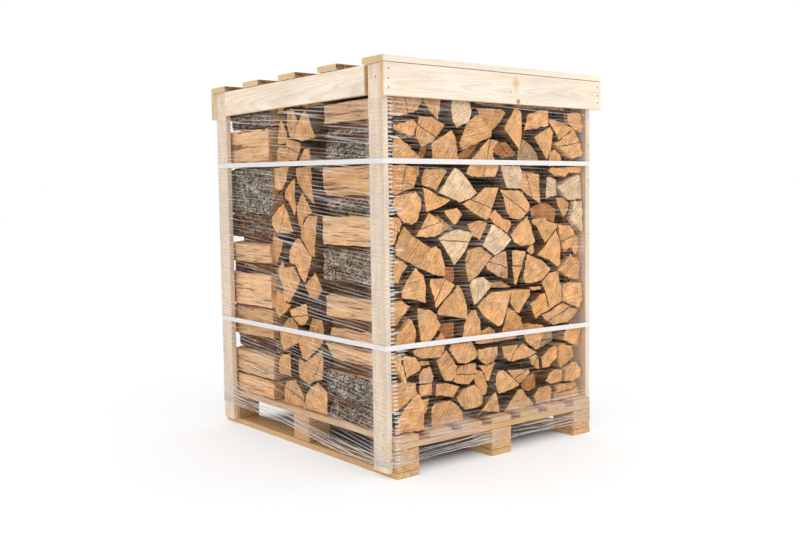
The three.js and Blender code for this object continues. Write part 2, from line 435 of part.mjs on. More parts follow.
// Logs of the middle row lie across the others, so their ends show on the two sides.
// Here the distance is along the depth of the pallet.
const MIDDLE_LOGS = [
  [14, 76, 129, 77, 135, 71, 137.5, 68.9, 132],
  [10, 68.2, 131.9, 67, 138, 60, 137, 59.7, 131.4],
  [16, 59.2, 131.4, 58.5, 137, 51, 137.5, 49, 131, 55, 130.2],
  [8, 68.7, 131, 64.5, 131, 60.3, 125.2, 65.2, 122.2, 67.8, 121.6, 68.8, 125],
  [0, 54.9, 129.5, 51.6, 125.6, 50.4, 122.7, 49, 120, 47.4, 119.1,
    57.5, 117.8, 64.5, 119.8, 65.6, 121.4, 59.4, 125.1, 57.5, 127.5],
  [14, 74.2, 127.5, 72.3, 126, 70, 122, 69.9, 118, 76.8, 117.7, 76.5, 121.4],
  [6, 69, 119.5, 59.4, 117.6, 59.4, 115.6, 62, 110.7, 66.5, 111, 69.7, 115],
  [10, 76.2, 116.5, 70.4, 116, 67.4, 111.5, 67.4, 110.5, 77.5, 110.3, 77, 114],
  [4, 56.2, 115, 52.3, 115.3, 52, 110, 60.5, 110.3],
  [6, 62.4, 108, 52, 108.4, 52, 100.7, 50.5, 93.9, 55.5, 96.9, 61.3, 102, 62.6, 106],
  [3, 78, 108.4, 66.7, 108.8, 69.2, 103.3, 73, 99.7, 78, 99.8, 78.7, 104.6],
  [12, 65.2, 104, 64.5, 103.3, 64.9, 96.9, 63.6, 93, 64.9, 89.3,
    66.5, 91.7, 69.7, 95.2, 72.3, 96.4, 72, 99.3, 69, 102],
  [9, 58.7, 98.5, 52.6, 90.9, 58, 88.7, 60, 84.6, 62.4, 86, 62.8, 93, 60.7, 96.2],
  [2, 71.3, 94.4, 67.8, 90.2, 65.8, 85.3, 64.8, 83.3, 71, 82.6, 78, 82.9, 81, 85.9, 81, 89, 76, 92.2],
  [4, 54.2, 89.6, 47.4, 90, 49.7, 81.4, 51, 73.9, 54.2, 75, 60.5, 82, 59.2, 85.3],
  [7, 61.6, 81.2, 64.5, 80, 69, 76.2, 69.6, 71, 64.5, 70.2,
    60.7, 65, 58.2, 63.8, 54.2, 70, 52.5, 74, 57, 77.3],
  [11, 80.7, 82.2, 73.8, 79, 75.5, 75, 79.4, 69.7, 81.2, 73.7, 82.3, 80],
  [18, 76, 71.6, 74.5, 68.5, 74.2, 64, 75.7, 60, 80.5, 67.5],
  [5, 73.4, 68, 71, 69.6, 66, 69.8, 61, 64.4, 64.5, 60, 69, 55.2, 73, 55.8, 73.8, 62],
  [3, 50.4, 68.5, 48.4, 66, 45.7, 62, 49, 58.4, 54.2, 58.7, 57.3, 62.7],
  [13, 80, 59.3, 75.5, 58.8, 73.2, 55, 69.4, 54.2, 75, 50.2, 78.7, 48.2, 82, 52.4],
  [8, 69.7, 52.4, 57, 56.1, 56.4, 50.2, 59.4, 47.4, 63.3, 46.8, 69, 50.3],
  [16, 72, 49, 69, 49.3, 65.2, 46.5, 64.7, 44, 77.5, 44, 75, 47],
  [9, 77.5, 43.8, 62.8, 43.8, 63.5, 40, 75.5, 35.2, 77.5, 39],
  [20, 55.5, 50.3, 49, 50, 47.2, 46.6, 47.5, 44.2, 58, 44.2, 57.5, 47],
  [4, 62.4, 44, 46.7, 44, 46.7, 41.7, 57.5, 33.9, 60, 33.9, 62.1, 39],
  [6, 47.2, 39.3, 46.5, 33.7, 47, 27.5, 50.4, 26.8, 59.2, 33],
  [10, 70.2, 35, 70, 25.5, 78.7, 25.5, 79.4, 30.5, 76.8, 33.5],
  [22, 65.8, 33.5, 59.4, 32.2, 51.4, 27.3, 59.4, 23.6, 65.8, 25.5, 66.5, 30],
  [5, 72.3, 23.8, 65.8, 25.1, 60.2, 18.9, 60.7, 14.6, 75, 14.6, 74.2, 20.8],
  [3, 55.5, 23.2, 50.4, 26.1, 44.5, 23.4, 44, 14.6, 59.4, 14.6, 58, 20],
];

const ALONG_DEPTH = new THREE.Matrix4().makeBasis(
  new THREE.Vector3(1, 0, 0),
  new THREE.Vector3(0, 0, 1),
  new THREE.Vector3(0, -1, 0),
);
const ALONG_WIDTH = new THREE.Matrix4().makeBasis(
  new THREE.Vector3(0, 1, 0),
  new THREE.Vector3(0, 0, 1),
  new THREE.Vector3(1, 0, 0),
);

function toManifold(geometry) {
  geometry.deleteAttribute('normal');
  geometry.deleteAttribute('uv');
  const merged = mergeVertices(geometry);
  return new wasm.Manifold(new wasm.Mesh({
    numProp: 3,
    vertProperties: new Float32Array(merged.attributes.position.array),
    triVerts: new Uint32Array(merged.index.array),
  }));
}

function toGeometry(manifold) {
  const mesh = manifold.getMesh();
  const geometry = new THREE.BufferGeometry();
  geometry.setAttribute('position', new THREE.BufferAttribute(new Float32Array(mesh.vertProperties), 3));
  geometry.setIndex(new THREE.BufferAttribute(new Uint32Array(mesh.triVerts), 1));
  return geometry;
}

function block([x0, x1], [y0, y1], [z0, z1]) {
  const geometry = new THREE.BoxGeometry(x1 - x0, y1 - y0, z1 - z0);
  geometry.translate((x0 + x1) / 2, (y0 + y1) / 2, (z0 + z1) / 2);
  return toManifold(geometry);
}

// The corners of a log end, in mm, mirrored about a line of the face if one is given
function outlineOf([, ...pairs], mirrorLine) {
  const points = [];
  for (let i = 0; i < pairs.length; i += 2) {
    const along = pairs[i] * MM_PER_CM;
    const x = mirrorLine === undefined ? along : mirrorLine - along;
    points.push(new THREE.Vector2(x, pairs[i + 1] * MM_PER_CM));
  }
  return points;
}

// A log from start to end along the depth, or along the width
function splitLog(points, [start, end], direction) {
  const shape = new THREE.Shape(points);
  const geometry = new THREE.ExtrudeGeometry(shape, { depth: end - start, bevelEnabled: false });
  geometry.applyMatrix4(direction);
  if (direction === ALONG_DEPTH) geometry.translate(0, end, 0);
  else geometry.translate(start, 0, 0);
  return toManifold(geometry);
}

function joinLogs(core, logs) {
  return toGeometry(logs.reduce((stack, log) => stack.add(log), core));
}

const SIDE_SPAN = [ROW_SIDE, PALLET_WIDTH - ROW_SIDE];
const CORE_HEIGHT = [DECK_TOP + GAP, ROW_TOP];

// The front row: whole logs at its sides and top, and log ends that stand out of its front
function buildFrontRow() {
  const core = block(SIDE_SPAN, [FRONT_ROW_START + END_RELIEF, FRONT_ROW_END], CORE_HEIGHT);
  const whole = [...LEFT_LOGS, ...RIGHT_LOGS, ...TOP_LOGS].map((log) => (
    splitLog(outlineOf(log), [FRONT_ROW_START + log[0], FRONT_ROW_END - LOG_SHY], ALONG_DEPTH)));
  const ends = INNER_LOGS.map((log) => (
    splitLog(outlineOf(log), [FRONT_ROW_START + log[0], FRONT_ROW_START + STUB], ALONG_DEPTH)));
  addPiece('firewood_front_row', joinLogs(core, [...whole, ...ends]), 'log');
}

// The back row is laid as the front row is, so its back shows the same ends the other way round
function buildBackRow() {
  const core = block(SIDE_SPAN, [BACK_ROW_START, BACK_ROW_END - END_RELIEF], CORE_HEIGHT);
  const wholeSpan = ([setback]) => [BACK_ROW_START + LOG_SHY, BACK_ROW_END - setback];
  const endSpan = ([setback]) => [BACK_ROW_END - STUB, BACK_ROW_END - setback];
  const mirrored = (log) => outlineOf(log, PALLET_WIDTH).reverse();
  const left = BACK_LEFT_LOGS.map((log) => splitLog(outlineOf(log), wholeSpan(log), ALONG_DEPTH));
  const stackEdge = PALLET_WIDTH - BACK_STACK_WIDTH;
  const clearOfLeft = (log) => Math.max(...outlineOf(log).map((p) => p.x)) < stackEdge;
  const whole = [...LEFT_LOGS, ...TOP_LOGS.filter(clearOfLeft)].map((log) => (
    splitLog(mirrored(log), wholeSpan(log), ALONG_DEPTH)));
  const ends = INNER_LOGS.filter(clearOfLeft).map((log) => (
    splitLog(mirrored(log), endSpan(log), ALONG_DEPTH)));
  addPiece('firewood_back_row', joinLogs(core, [...left, ...whole, ...ends]), 'log');
}

// The middle row: log ends stand out of both of its sides, and the top logs are whole
function buildMiddleRow() {
  const sides = [MIDDLE_SETBACK, PALLET_WIDTH - MIDDLE_SETBACK];
  const coreSpan = [sides[0] + END_RELIEF, sides[1] - END_RELIEF];
  const core = block(coreSpan, [MIDDLE_ROW_START, MIDDLE_ROW_END], CORE_HEIGHT);
  const logs = [];
  MIDDLE_LOGS.forEach((log) => {
    const outline = outlineOf(log);
    const onTop = Math.max(...outline.map((p) => p.y)) > WHOLE_ABOVE;
    const [left, right] = [sides[0] + log[0], sides[1] - log[0]];
    if (onTop) {
      logs.push(splitLog(outline, [left, right], ALONG_WIDTH));
    } else {
      logs.push(splitLog(outline, [left, sides[0] + STUB], ALONG_WIDTH));
      logs.push(splitLog(outline, [sides[1] - STUB, right], ALONG_WIDTH));
    }
  });
  addPiece('firewood_middle_row', joinLogs(core, logs), 'log');
}

buildPallet();
buildPosts();
buildFrontRow();
buildMiddleRow();
buildBackRow();
buildFilm();
buildStrap('strap_upper', UPPER_STRAP_HEIGHTS);
buildStrap('strap_lower', LOWER_STRAP_HEIGHTS);
buildLid();

export default load;
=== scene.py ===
# %% [markdown]
# # Pallet of firewood
# A pallet carries three rows of split logs, held by four posts, a lid, stretch film and two straps.
# The packed model gives the size and place of every board, but each row of logs is one plain solid
# there. This lesson dresses it with real boards, several hundred single logs, film, straps and nails.
# The first cell loads the model. Every length after it is in metres, in the model's own frame.

# %% Load the frame
import math
import random

import bmesh
import bpy
from mathutils import Matrix, Vector, noise


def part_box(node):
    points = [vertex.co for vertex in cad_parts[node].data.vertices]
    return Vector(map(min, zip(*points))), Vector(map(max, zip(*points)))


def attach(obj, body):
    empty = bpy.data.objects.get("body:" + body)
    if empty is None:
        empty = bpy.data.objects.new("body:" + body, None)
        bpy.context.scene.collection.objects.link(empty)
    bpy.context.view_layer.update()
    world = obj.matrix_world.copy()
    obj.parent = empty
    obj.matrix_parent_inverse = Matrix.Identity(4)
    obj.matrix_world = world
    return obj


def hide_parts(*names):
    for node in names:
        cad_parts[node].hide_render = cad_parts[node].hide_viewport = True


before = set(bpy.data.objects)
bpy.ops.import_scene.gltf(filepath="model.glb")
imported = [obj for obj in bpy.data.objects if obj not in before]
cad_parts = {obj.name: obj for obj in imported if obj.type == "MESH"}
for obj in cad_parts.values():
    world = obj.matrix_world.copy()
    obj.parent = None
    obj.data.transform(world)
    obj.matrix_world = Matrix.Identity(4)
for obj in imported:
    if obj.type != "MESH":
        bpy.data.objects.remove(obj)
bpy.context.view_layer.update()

CM, MM = 0.01, 0.001
TURN = 2 * math.pi
X, Y, Z = Vector((1, 0, 0)), Vector((0, 1, 0)), Vector((0, 0, 1))
print("nodes in the frame:", len(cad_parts))

# %% [markdown]
# ## Where things stand
# The pallet's near left corner is the handiest point to measure from, so every place below is a
# distance along the front, a distance into the depth and a height, all from that corner. The corner
# is read from the bottom boards, so nothing has to be typed in twice.

# %% The pallet's corner
pallet_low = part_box("bottom_board_left")[0]
pallet_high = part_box("bottom_board_right")[1]
CORNER = Vector((pallet_low.x, pallet_low.y, 0.0))
WIDTH = pallet_high.x - pallet_low.x
DEPTH = pallet_high.y - pallet_low.y
DECK_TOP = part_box("deck_board_1")[1].z


def at(along, depth, height):
    return CORNER + Vector((along, depth, height))


print(f"pallet {WIDTH:.3f} by {DEPTH:.3f} m, deck at {DECK_TOP:.3f} m")

# %% [markdown]
# ## Camera
# The photograph was taken from the near left, a little below the lid, with a normal lens. A camera
# could be aimed by hand, but only a fitted one lays the render over the photograph, so its viewpoint
# was worked out from the corners of the pallet, posts and lid. A camera looks along its own -Z: its
# matrix is built from its right, up and backward directions.

# %% Camera
CAMERA_PLACE = Vector((-2.4823, -3.0946, 0.9684))
CAMERA_YAW = math.radians(38.60)
CAMERA_PITCH = math.radians(-4.27)
CAMERA_ROLL = math.radians(-0.80)
PHOTO_WIDTH = 800
FOCAL_PIXELS = 950.0
SENSOR = 36.0


def frame_of(origin, first, second, third):
    """A matrix that sets a thing's own x, y and z along three directions."""
    return Matrix.Translation(origin) @ Matrix((first, second, third)).transposed().to_4x4()


def put_in_scene(name, data):
    """Makes an object of a mesh, a lamp or a camera and adds it to the scene."""
    thing = bpy.data.objects.new(name, data)
    bpy.context.scene.collection.objects.link(thing)
    return thing


forward = Vector((
    math.sin(CAMERA_YAW) * math.cos(CAMERA_PITCH),
    math.cos(CAMERA_YAW) * math.cos(CAMERA_PITCH),
    math.sin(CAMERA_PITCH),
))
level_right = Vector((math.cos(CAMERA_YAW), -math.sin(CAMERA_YAW), 0.0))
level_up = level_right.cross(forward)
right = level_right * math.cos(CAMERA_ROLL) + level_up * math.sin(CAMERA_ROLL)
up = level_up * math.cos(CAMERA_ROLL) - level_right * math.sin(CAMERA_ROLL)
camera_data = bpy.data.cameras.new("camera")
camera_data.sensor_width = SENSOR
camera_data.lens = FOCAL_PIXELS / PHOTO_WIDTH * SENSOR
camera = put_in_scene("camera", camera_data)
camera.matrix_world = frame_of(CAMERA_PLACE, right, up, -forward)
bpy.context.scene.camera = camera
print(f"lens {camera_data.lens:.2f} mm")

# %% [markdown]
# ## Shader maths as expressions
# A material is a graph of nodes, and its sums soon need dozens of them. They could be placed by hand
# in the editor, but a script says better what depends on what. A small class that wraps one output
# and overloads the operators lets a sum be written as a sum.

# %% Wire


class Wire:
    """One output of a node. Arithmetic on it adds Math nodes."""

    def __init__(self, finish, socket):
        self.finish = finish
        self.socket = socket

    def math(self, operation, *others):
        return self.finish.node("Math", {"operation": operation}, dict(enumerate((self, *others))))

    def __add__(self, other):
        return self.math("ADD", other)

    def __sub__(self, other):
        return self.math("SUBTRACT", other)

    def __rsub__(self, other):
        return self.finish.node("Math", {"operation": "SUBTRACT"}, {0: other, 1: self})

    def __mul__(self, other):
        return self.math("MULTIPLY", other)

    def __truediv__(self, other):
        return self.math("DIVIDE", other)

    __radd__ = __add__
    __rmul__ = __mul__

    def length(self):
        return self.finish.node("VectorMath", {"operation": "LENGTH"}, {0: self}, "Value")

    def other(self, output):
        """Another output of the same node."""
        return Wire(self.finish, self.socket.node.outputs[output])

    def step(self, low, high):
        """0 below low, 1 above high and smooth between."""
        settings = {"interpolation_type": "SMOOTHSTEP"}
        return self.finish.node("MapRange", settings, {0: self, 1: low, 2: high})

    def swing(self, amount):
        """Noise about 0.5 as a swing of this amount about 0."""
        return (self - 0.5) * amount

    def wave(self, period):
        """A sine that repeats after this distance."""
        return (self * (TURN / period)).math("SINE")


print("operators of a wire: + - * /")

# %% [markdown]
# A finish is one material. Its node method makes any node from its type, its settings and what its
# sockets hold, and a few short methods name the common ones. In each call of noise or cells, the three
# numbers say about how many blobs fit into a metre along each axis.

# %% Finish


class Finish:
    """A material under construction."""

    def __init__(self, name):
        self.material = bpy.data.materials.new(name)
        self.material.use_nodes = True
        self.tree = self.material.node_tree
        self.tree.nodes.clear()

    def node(self, kind, settings=None, inputs=None, output=0):
        made = self.tree.nodes.new("ShaderNode" + kind)
        for key, value in (settings or {}).items():
            setattr(made, key, value)
        for key, value in (inputs or {}).items():
            if isinstance(value, Wire):
                self.tree.links.new(value.socket, made.inputs[key])
            else:
                made.inputs[key].default_value = value
        return Wire(self, made.outputs[output]) if made.outputs else None

    def attribute(self, name, output="Vector"):
        return self.node("Attribute", {"attribute_name": name}, output=output)

    def parts(self, vector):
        first = self.node("SeparateXYZ", inputs={0: vector})
        return [first.other(i) for i in range(3)]

    def stretch(self, vector, by):
        return self.node("VectorMath", {"operation": "MULTIPLY"}, {0: vector, 1: by})

    def noise(self, vector, per_metre, detail=2.0, roughness=0.55):
        place = self.stretch(vector, per_metre)
        sockets = {"Vector": place, "Scale": 1.0, "Detail": detail, "Roughness": roughness}
        return self.node("TexNoise", inputs=sockets)

    def cells(self, vector, per_metre, feature, **sockets):
        settings = {"voronoi_dimensions": "3D", "feature": feature}
        inputs = {"Vector": self.stretch(vector, per_metre), "Scale": 1.0, **sockets}
        return self.node("TexVoronoi", settings, inputs, "Distance")

    def shade(self, colour, value):
        """A colour made lighter or darker by a number."""
        return self.node("VectorMath", {"operation": "SCALE"}, {0: colour, "Scale": value})

    def blend(self, factor, first, second):
        """From one colour to another. Each is a wire, or red, green and blue."""
        first, second = (c if isinstance(c, Wire) else (*c, 1) for c in (first, second))
        return self.node("Mix", {"data_type": "RGBA"}, {0: factor, 6: first, 7: second}, output=2)

    def tint(self, factor, body, by):
        """A colour multiplied by another, as far as the factor says."""
        return self.blend(factor, body, self.stretch(body, by))

    def close(self, colour, height=None, depth=MM, alpha=None, rough=0.8, specular=0.5, **fixed):
        """The shader itself, with bump from a height of the given depth."""
        inputs = {"Base Color": colour, "Roughness": rough, "Specular IOR Level": specular, **fixed}
        if height is not None:
            bump = self.node("Bump", inputs={"Height": height, "Distance": depth, "Strength": 1.0})
            inputs["Normal"] = bump
        if alpha is not None:
            inputs["Alpha"] = alpha
        shader = self.node("BsdfPrincipled", inputs=inputs)
        self.node("OutputMaterial", inputs={0: shader})
        return self.material


print("methods of a finish:", ", ".join(name for name in vars(Finish) if name[0] != "_"))

# %% [markdown]
# ## Sawn timber
# The posts and the lid are new spruce, and the pallet is older, darker wood. A board is a slice of a
# round trunk, so one solid pattern does for all its faces: growth rings are cylinders round a pith
# line that runs beside the board, a little askew. Cut lengthwise they show as long flowing lines, and
# cut across as arcs. An image would have to be fitted to every face, while this needs only the place
# of each point from the pith, which the mesh carries as "grain". Knots sit in some of the cells of a
# Voronoi texture, and "spot" places the one knot and the swirl that the front apron shows.

# %% Timber finish
LATE_WOOD, BLUSH = (0.74, 0.62, 0.50), (0.97, 0.86, 0.77)
HALO, KNOT, DIRT = (0.62, 0.33, 0.12), (0.22, 0.09, 0.035), (0.17, 0.12, 0.08)
KNOT_CELLS, KNOT_SIZE, HALO_SIZE = (9, 2.1, 0), (0.05, 0.10), (0.05, 0.34)
OWN_KNOT_SIZE, OWN_KNOT = (0.004, 0.014), 0.85
SWIRL_PLACE, SWIRL_SHAPE, SWIRL_SIZE = (-0.012, 0.066, 0.0), (1.15, 0.8, 1), (0.012, 0.044)
RING_WARP, RING_BULGE, SWIRL_WARP = 0.022, 0.012, 0.02


def knots_in(look, grain, warp, share):
    """Knots in this share of the cells and on the apron, and the brown halos about them."""
    distance = look.cells(grain, KNOT_CELLS, "F1", Randomness=1.0)
    lot = look.parts(distance.other("Color"))[0]
    chosen = (1 - lot).step(1 - share - 0.01, 1 - share)
    spot = look.attribute("spot")
    own_knot = OWN_KNOT * (1 - spot.length().step(*OWN_KNOT_SIZE))
    off_swirl = look.node("VectorMath", {"operation": "SUBTRACT"}, {0: spot, 1: SWIRL_PLACE})
    swirl = 1 - (look.stretch(off_swirl, SWIRL_SHAPE).length() + warp * SWIRL_WARP).step(*SWIRL_SIZE)
    knot = ((1 - distance.step(*KNOT_SIZE)) * chosen).math("MAXIMUM", own_knot)
    halo = ((1 - distance.step(*HALO_SIZE)) * chosen).math("MAXIMUM", swirl)
    return knot, halo


def timber(name, line, spacing, contrast, fuzz, knots=0.0, weather=0.0, blush=0.0, cast=(1, 1, 1)):
    """Sawn wood, by the colour, spacing and contrast of its ring lines and how fuzzy its faces are."""
    look = Finish(name)
    grain = look.attribute("grain")
    wood = look.stretch(look.attribute("wood", "Color"), cast)
    warp = look.noise(grain, (9, 1.1, 9))
    fibre = look.noise(grain, (420, 9, 420))
    grit = look.noise(grain, (230, 60, 230), 3, 0.65)
    blotch = look.noise(grain, (16, 3, 16), 3)
    ribbon = look.noise(grain, (34, 1.5, 34)).step(0.44, 0.64)
    knot, halo = knots_in(look, grain, warp, knots)

    radius = look.stretch(grain, (1, 0, 1)).length()
    ring = ((radius + warp * RING_WARP + halo * RING_BULGE) / spacing).math("FRACT")
    late = ring.step(0.35, 0.86) * (1 - ring.step(0.88, 0.99))
    body = look.shade(wood, 1 + blotch.swing(0.5) + fibre.swing(fuzz) + grit.swing(fuzz * 0.8))
    body = look.tint(ribbon * blush, body, BLUSH)
    body = look.tint(late * contrast, body, LATE_WOOD)
    body = look.blend(late * contrast * 0.6, body, line)
    body = look.blend(halo * 0.6, body, HALO)
    body = look.blend(knot * 0.9, body, KNOT)
    if weather:
        dirt = look.noise(grain, (30, 8, 30), 4, 0.7).step(0.52, 0.75)
        body = look.blend(dirt * weather, body, DIRT)
    height = fibre * 0.6 + grit * 0.5 + late * 0.4 + blotch * 0.4
    return look.close(body, height, 1.0 * MM, rough=0.62, specular=0.3)


def slat_edge():
    """The rough brown edges of the lid's slats, sawn close under the bark."""
    look = Finish("brown slat edge")
    grain = look.attribute("grain")
    coarse = look.noise(grain, (130, 45, 130), 3, 0.65)
    fine = look.noise(grain, (480, 120, 480))
    body = look.blend(coarse.step(0.40, 0.60), (0.10, 0.035, 0.012), (0.40, 0.19, 0.075))
    body = look.blend(fine.step(0.56, 0.66) * 0.5, body, (0.62, 0.38, 0.19))
    return look.close(body, coarse + 0.5 * fine, 1.6 * MM)


SPRUCE = timber("pale sawn spruce", (0.66, 0.44, 0.29), 4.4 * MM, 0.22, 0.34, knots=0.06, blush=0.65)
SPRUCE_END = timber("spruce end grain", (0.50, 0.29, 0.14), 4.2 * MM, 0.45, 0.8, cast=(0.90, 0.70, 0.46))
PALLET = timber("weathered pallet board", (0.42, 0.24, 0.11), 4.5 * MM, 0.34, 0.75, 0.08, 0.22, 0.4)
PALLET_END = timber("pallet board end grain", (0.34, 0.18, 0.08), 4.8 * MM, 0.50, 1.1, weather=0.25)
BLOCK = timber("orange brown block", (0.33, 0.15, 0.05), 5.2 * MM, 0.50, 1.0, weather=0.25)
BLOCK_END = timber("block end grain", (0.28, 0.12, 0.04), 8.8 * MM, 0.48, 3.2, weather=0.28)
SLAT_EDGE = slat_edge()
print("nodes in the spruce finish:", len(SPRUCE.node_tree.nodes))

# %% [markdown]
# ## Boards
# Each board of the model is a box. A sawn board has edges that are slightly broken, faces that are not
# quite flat and a grain of its own. A displacement modifier could roughen a cube, but it might push it
# out of its box. So a cube is shaped to the box, cut along its length, bevelled, and moved only inwards
# by soft noise. The draws and Blender's vector noise both start from one seed, or each run would differ.

# %% Seed and pieces
SEED = 4809
chance = random.Random(SEED)
noise.seed_set(SEED)


def mesh_object(name, bm, materials):
    mesh = bpy.data.meshes.new(name)
    bm.to_mesh(mesh)
    bm.free()
    for material in materials:
        mesh.materials.append(material)
    return put_in_scene(name, mesh)


def piece(name, bm, materials, slot, *nodes):
    """A finished object that rides with the load and stands for some nodes of the model."""
    thing = mesh_object(name, bm, materials)
    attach(thing, "root")
    if nodes:
        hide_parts(*nodes)
    return thing


print("seed:", SEED)

# %% Shaping one board
X_AXIS, Y_AXIS, Z_AXIS = 0, 1, 2
CUT_SPACING = 0.035
SLOW_NOISE, QUICK_NOISE, QUICK_SHARE = 9, 60, 0.6
FACE_FROM = 0.3
ON_GROUND = 0.5 * MM


def board_mesh(low, high, long_axis, edge, wander):
    """A bevelled box, cut along its length, whose faces wander a little inwards."""
    size, middle = high - low, (low + high) / 2
    bm = bmesh.new()
    bmesh.ops.create_cube(bm, size=1.0)
    bmesh.ops.scale(bm, vec=size, verts=bm.verts)
    bmesh.ops.translate(bm, vec=middle, verts=bm.verts)
    bmesh.ops.bevel(bm, geom=bm.edges[:], offset=edge, segments=2, profile=0.5, affect="EDGES", material=-1)
    lengthwise = (X, Y, Z)[long_axis]
    cuts = max(2, int(size[long_axis] / CUT_SPACING))
    for i in range(1, cuts):
        point = low.copy()
        point[long_axis] += size[long_axis] * i / cuts
        geom = bm.verts[:] + bm.edges[:] + bm.faces[:]
        bmesh.ops.bisect_plane(bm, geom=geom, plane_co=point, plane_no=lengthwise)
    seed = Vector([chance.uniform(-50, 50) for _ in range(3)])
    for vert in bm.verts:
        slow = noise.noise_vector(vert.co * SLOW_NOISE + seed)
        quick = noise.noise_vector(vert.co * QUICK_NOISE + seed)
        shift = slow * wander + quick * wander * QUICK_SHARE
        towards = middle - vert.co
        stands = vert.co.z <= ON_GROUND
        for axis in range(3):
            on_face = abs(towards[axis]) > size[axis] * FACE_FROM
            if on_face and not (stands and axis == Z_AXIS):
                vert.co[axis] += math.copysign(abs(shift[axis]), towards[axis])
    return bm


print(f"a board is cut every {CUT_SPACING * 1000:.0f} mm")

# %% [markdown]
# Every board came from its own place in its own trunk. One could unwrap each board and turn the image
# on it, but here its corners simply carry the way to the pith and a tint of its own, both drawn at
# random. The faces across the grain get the end grain finish.

# %% Dressing one board
FACING = 0.7
APRON_KNOT = Vector((0.63, 0.0, 0.010))
NO_KNOT = (9.0, 9.0, 9.0)


def paint(bm, grain_of, tint, knot_at):
    """Writes the place in the trunk, the tint and the way from the knot on every corner."""
    grain = bm.verts.layers.float_vector.new("grain")
    spot = bm.verts.layers.float_vector.new("spot")
    wood = bm.verts.layers.float_color.new("wood")
    for vert in bm.verts:
        vert[grain] = grain_of(vert.co)
        vert[wood] = (*tint, 1.0)
        vert[spot] = (vert.co.x - knot_at.x, vert.co.z - knot_at.z, 0.0) if knot_at else NO_KNOT


def board(node, tint, spread, finishes, slot, axes=None, edge=1.6 * MM, wander=0.6 * MM, seam=0.0):
    """One board. Its finishes are those of its faces, its ends and, for some, its edges."""
    low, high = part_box(node)
    high.z -= seam
    middle = (low + high) / 2
    long_axis, wide_axis, thin_axis = axes or sorted(range(3), key=lambda axis: low[axis] - high[axis])
    bm = board_mesh(low, high, long_axis, edge, wander)
    pith_wide = chance.uniform(-0.05, 0.05)
    pith_thin = chance.choice((-1, 1)) * chance.uniform(0.03, 0.11)
    lean_wide = chance.uniform(-0.05, 0.05)
    lean_thin = chance.uniform(-0.04, 0.04)
    offset = chance.uniform(0, 40)

    def grain_of(co):
        far = co[long_axis] - middle[long_axis]
        return (
            co[wide_axis] - middle[wide_axis] + pith_wide + lean_wide * far,
            far + offset,
            co[thin_axis] - middle[thin_axis] + pith_thin + lean_thin * far,
        )

    lift = 1 + chance.uniform(-spread, spread)
    warm = chance.uniform(-spread, spread) * 0.4
    colour = (tint[0] * lift, tint[1] * lift * (1 - warm * 0.4), tint[2] * lift * (1 - warm))
    paint(bm, grain_of, colour, low + APRON_KNOT if node == "lid_apron_front" else None)
    for face in bm.faces:
        on_end = abs(face.normal[long_axis]) > FACING
        on_edge = abs(face.normal[wide_axis]) > FACING and len(finishes) > 2
        face.material_index = 1 if on_end else 2 if on_edge else 0
    return piece(node.replace("board", "plank") + "_wood", bm, finishes, slot, node)


print("the apron's knot stands at", tuple(APRON_KNOT))

# %% [markdown]
# The pallet's boards are tan and weathered, its blocks orange-brown with open end grain at the front
# and back, and the posts and the lid are pale new spruce. Four slats of the lid have brown edges. Each
# kind of board could be a loop of its own, but one table says in one place what differs between them:
# tint, spread of the tint, finishes, slot, and what else the kind needs.

# %% All the boards
PALLET_TINT, BOTTOM_TINT = (0.70, 0.46, 0.26), (0.66, 0.42, 0.20)
BLOCK_TINT = (0.60, 0.365, 0.18)
SPRUCE_TINT, POST_TINT = (0.85, 0.755, 0.62), (0.79, 0.665, 0.515)
SAWN_SPRUCE = (SPRUCE, SPRUCE_END)
ALONG_DEPTH = {"axes": (Y_AXIS, X_AXIS, Z_AXIS), "edge": 3.0 * MM, "wander": 1.0 * MM}
LID_SEAM = {"seam": 1.6 * MM}
KINDS = {
    "bottom_board": (BOTTOM_TINT, 0.04, (PALLET, BLOCK_END), "pallet_timber", {"edge": 0.8 * MM}),
    "cross_board": (PALLET_TINT, 0.10, (PALLET, PALLET_END), "pallet_timber", {}),
    "deck_board": (PALLET_TINT, 0.10, (PALLET, PALLET_END), "pallet_timber", {}),
    "block": (BLOCK_TINT, 0.12, (BLOCK, BLOCK_END), "block_wood", ALONG_DEPTH),
    "post": (POST_TINT, 0.03, SAWN_SPRUCE, "spruce_timber", {}),
    "lid_slat_1": (SPRUCE_TINT, 0.05, SAWN_SPRUCE, "spruce_timber", {}),
    "lid_slat": (SPRUCE_TINT, 0.05, (*SAWN_SPRUCE, SLAT_EDGE), "spruce_timber", {}),
    "lid": (SPRUCE_TINT, 0.04, SAWN_SPRUCE, "spruce_timber", LID_SEAM),
}

boards = 0
for name in sorted(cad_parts):
    kind = next((kind for kind in KINDS if name.startswith(kind)), None)
    if kind:
        *looks, extras = KINDS[kind]
        board(name, *looks, **extras)
        boards += 1
print("boards:", boards)

# %% [markdown]
# ## Sawn ends of the logs
# A sawn end shows growth rings, fine rays and the marks of the saw, and here and there a drying crack.
# The ends are small and many, so they share one finish, and each log's mesh carries what sets it apart:
# "wood" is its tint, "pith" the place from the heart of the trunk and along the log, and "saw" runs
# across and along the saw's marks, with a third number that says how far off a crack is.

# %% Sawn end finish
RING, SAW_STEP, FINE_SAW_STEP = 3.4 * MM, 10.5 * MM, 4.7 * MM
RING_WOBBLE, CRACK_WOBBLE, CRACK_WIDTH = 0.006, 0.012, (0.0005, 0.0024)
SAW_DRIFT, FINE_SAW_DRIFT = 0.014, 0.010
WARM_END, LATE_END, CRACK = (0.97, 0.84, 0.66), (0.80, 0.66, 0.50), (0.05, 0.022, 0.01)


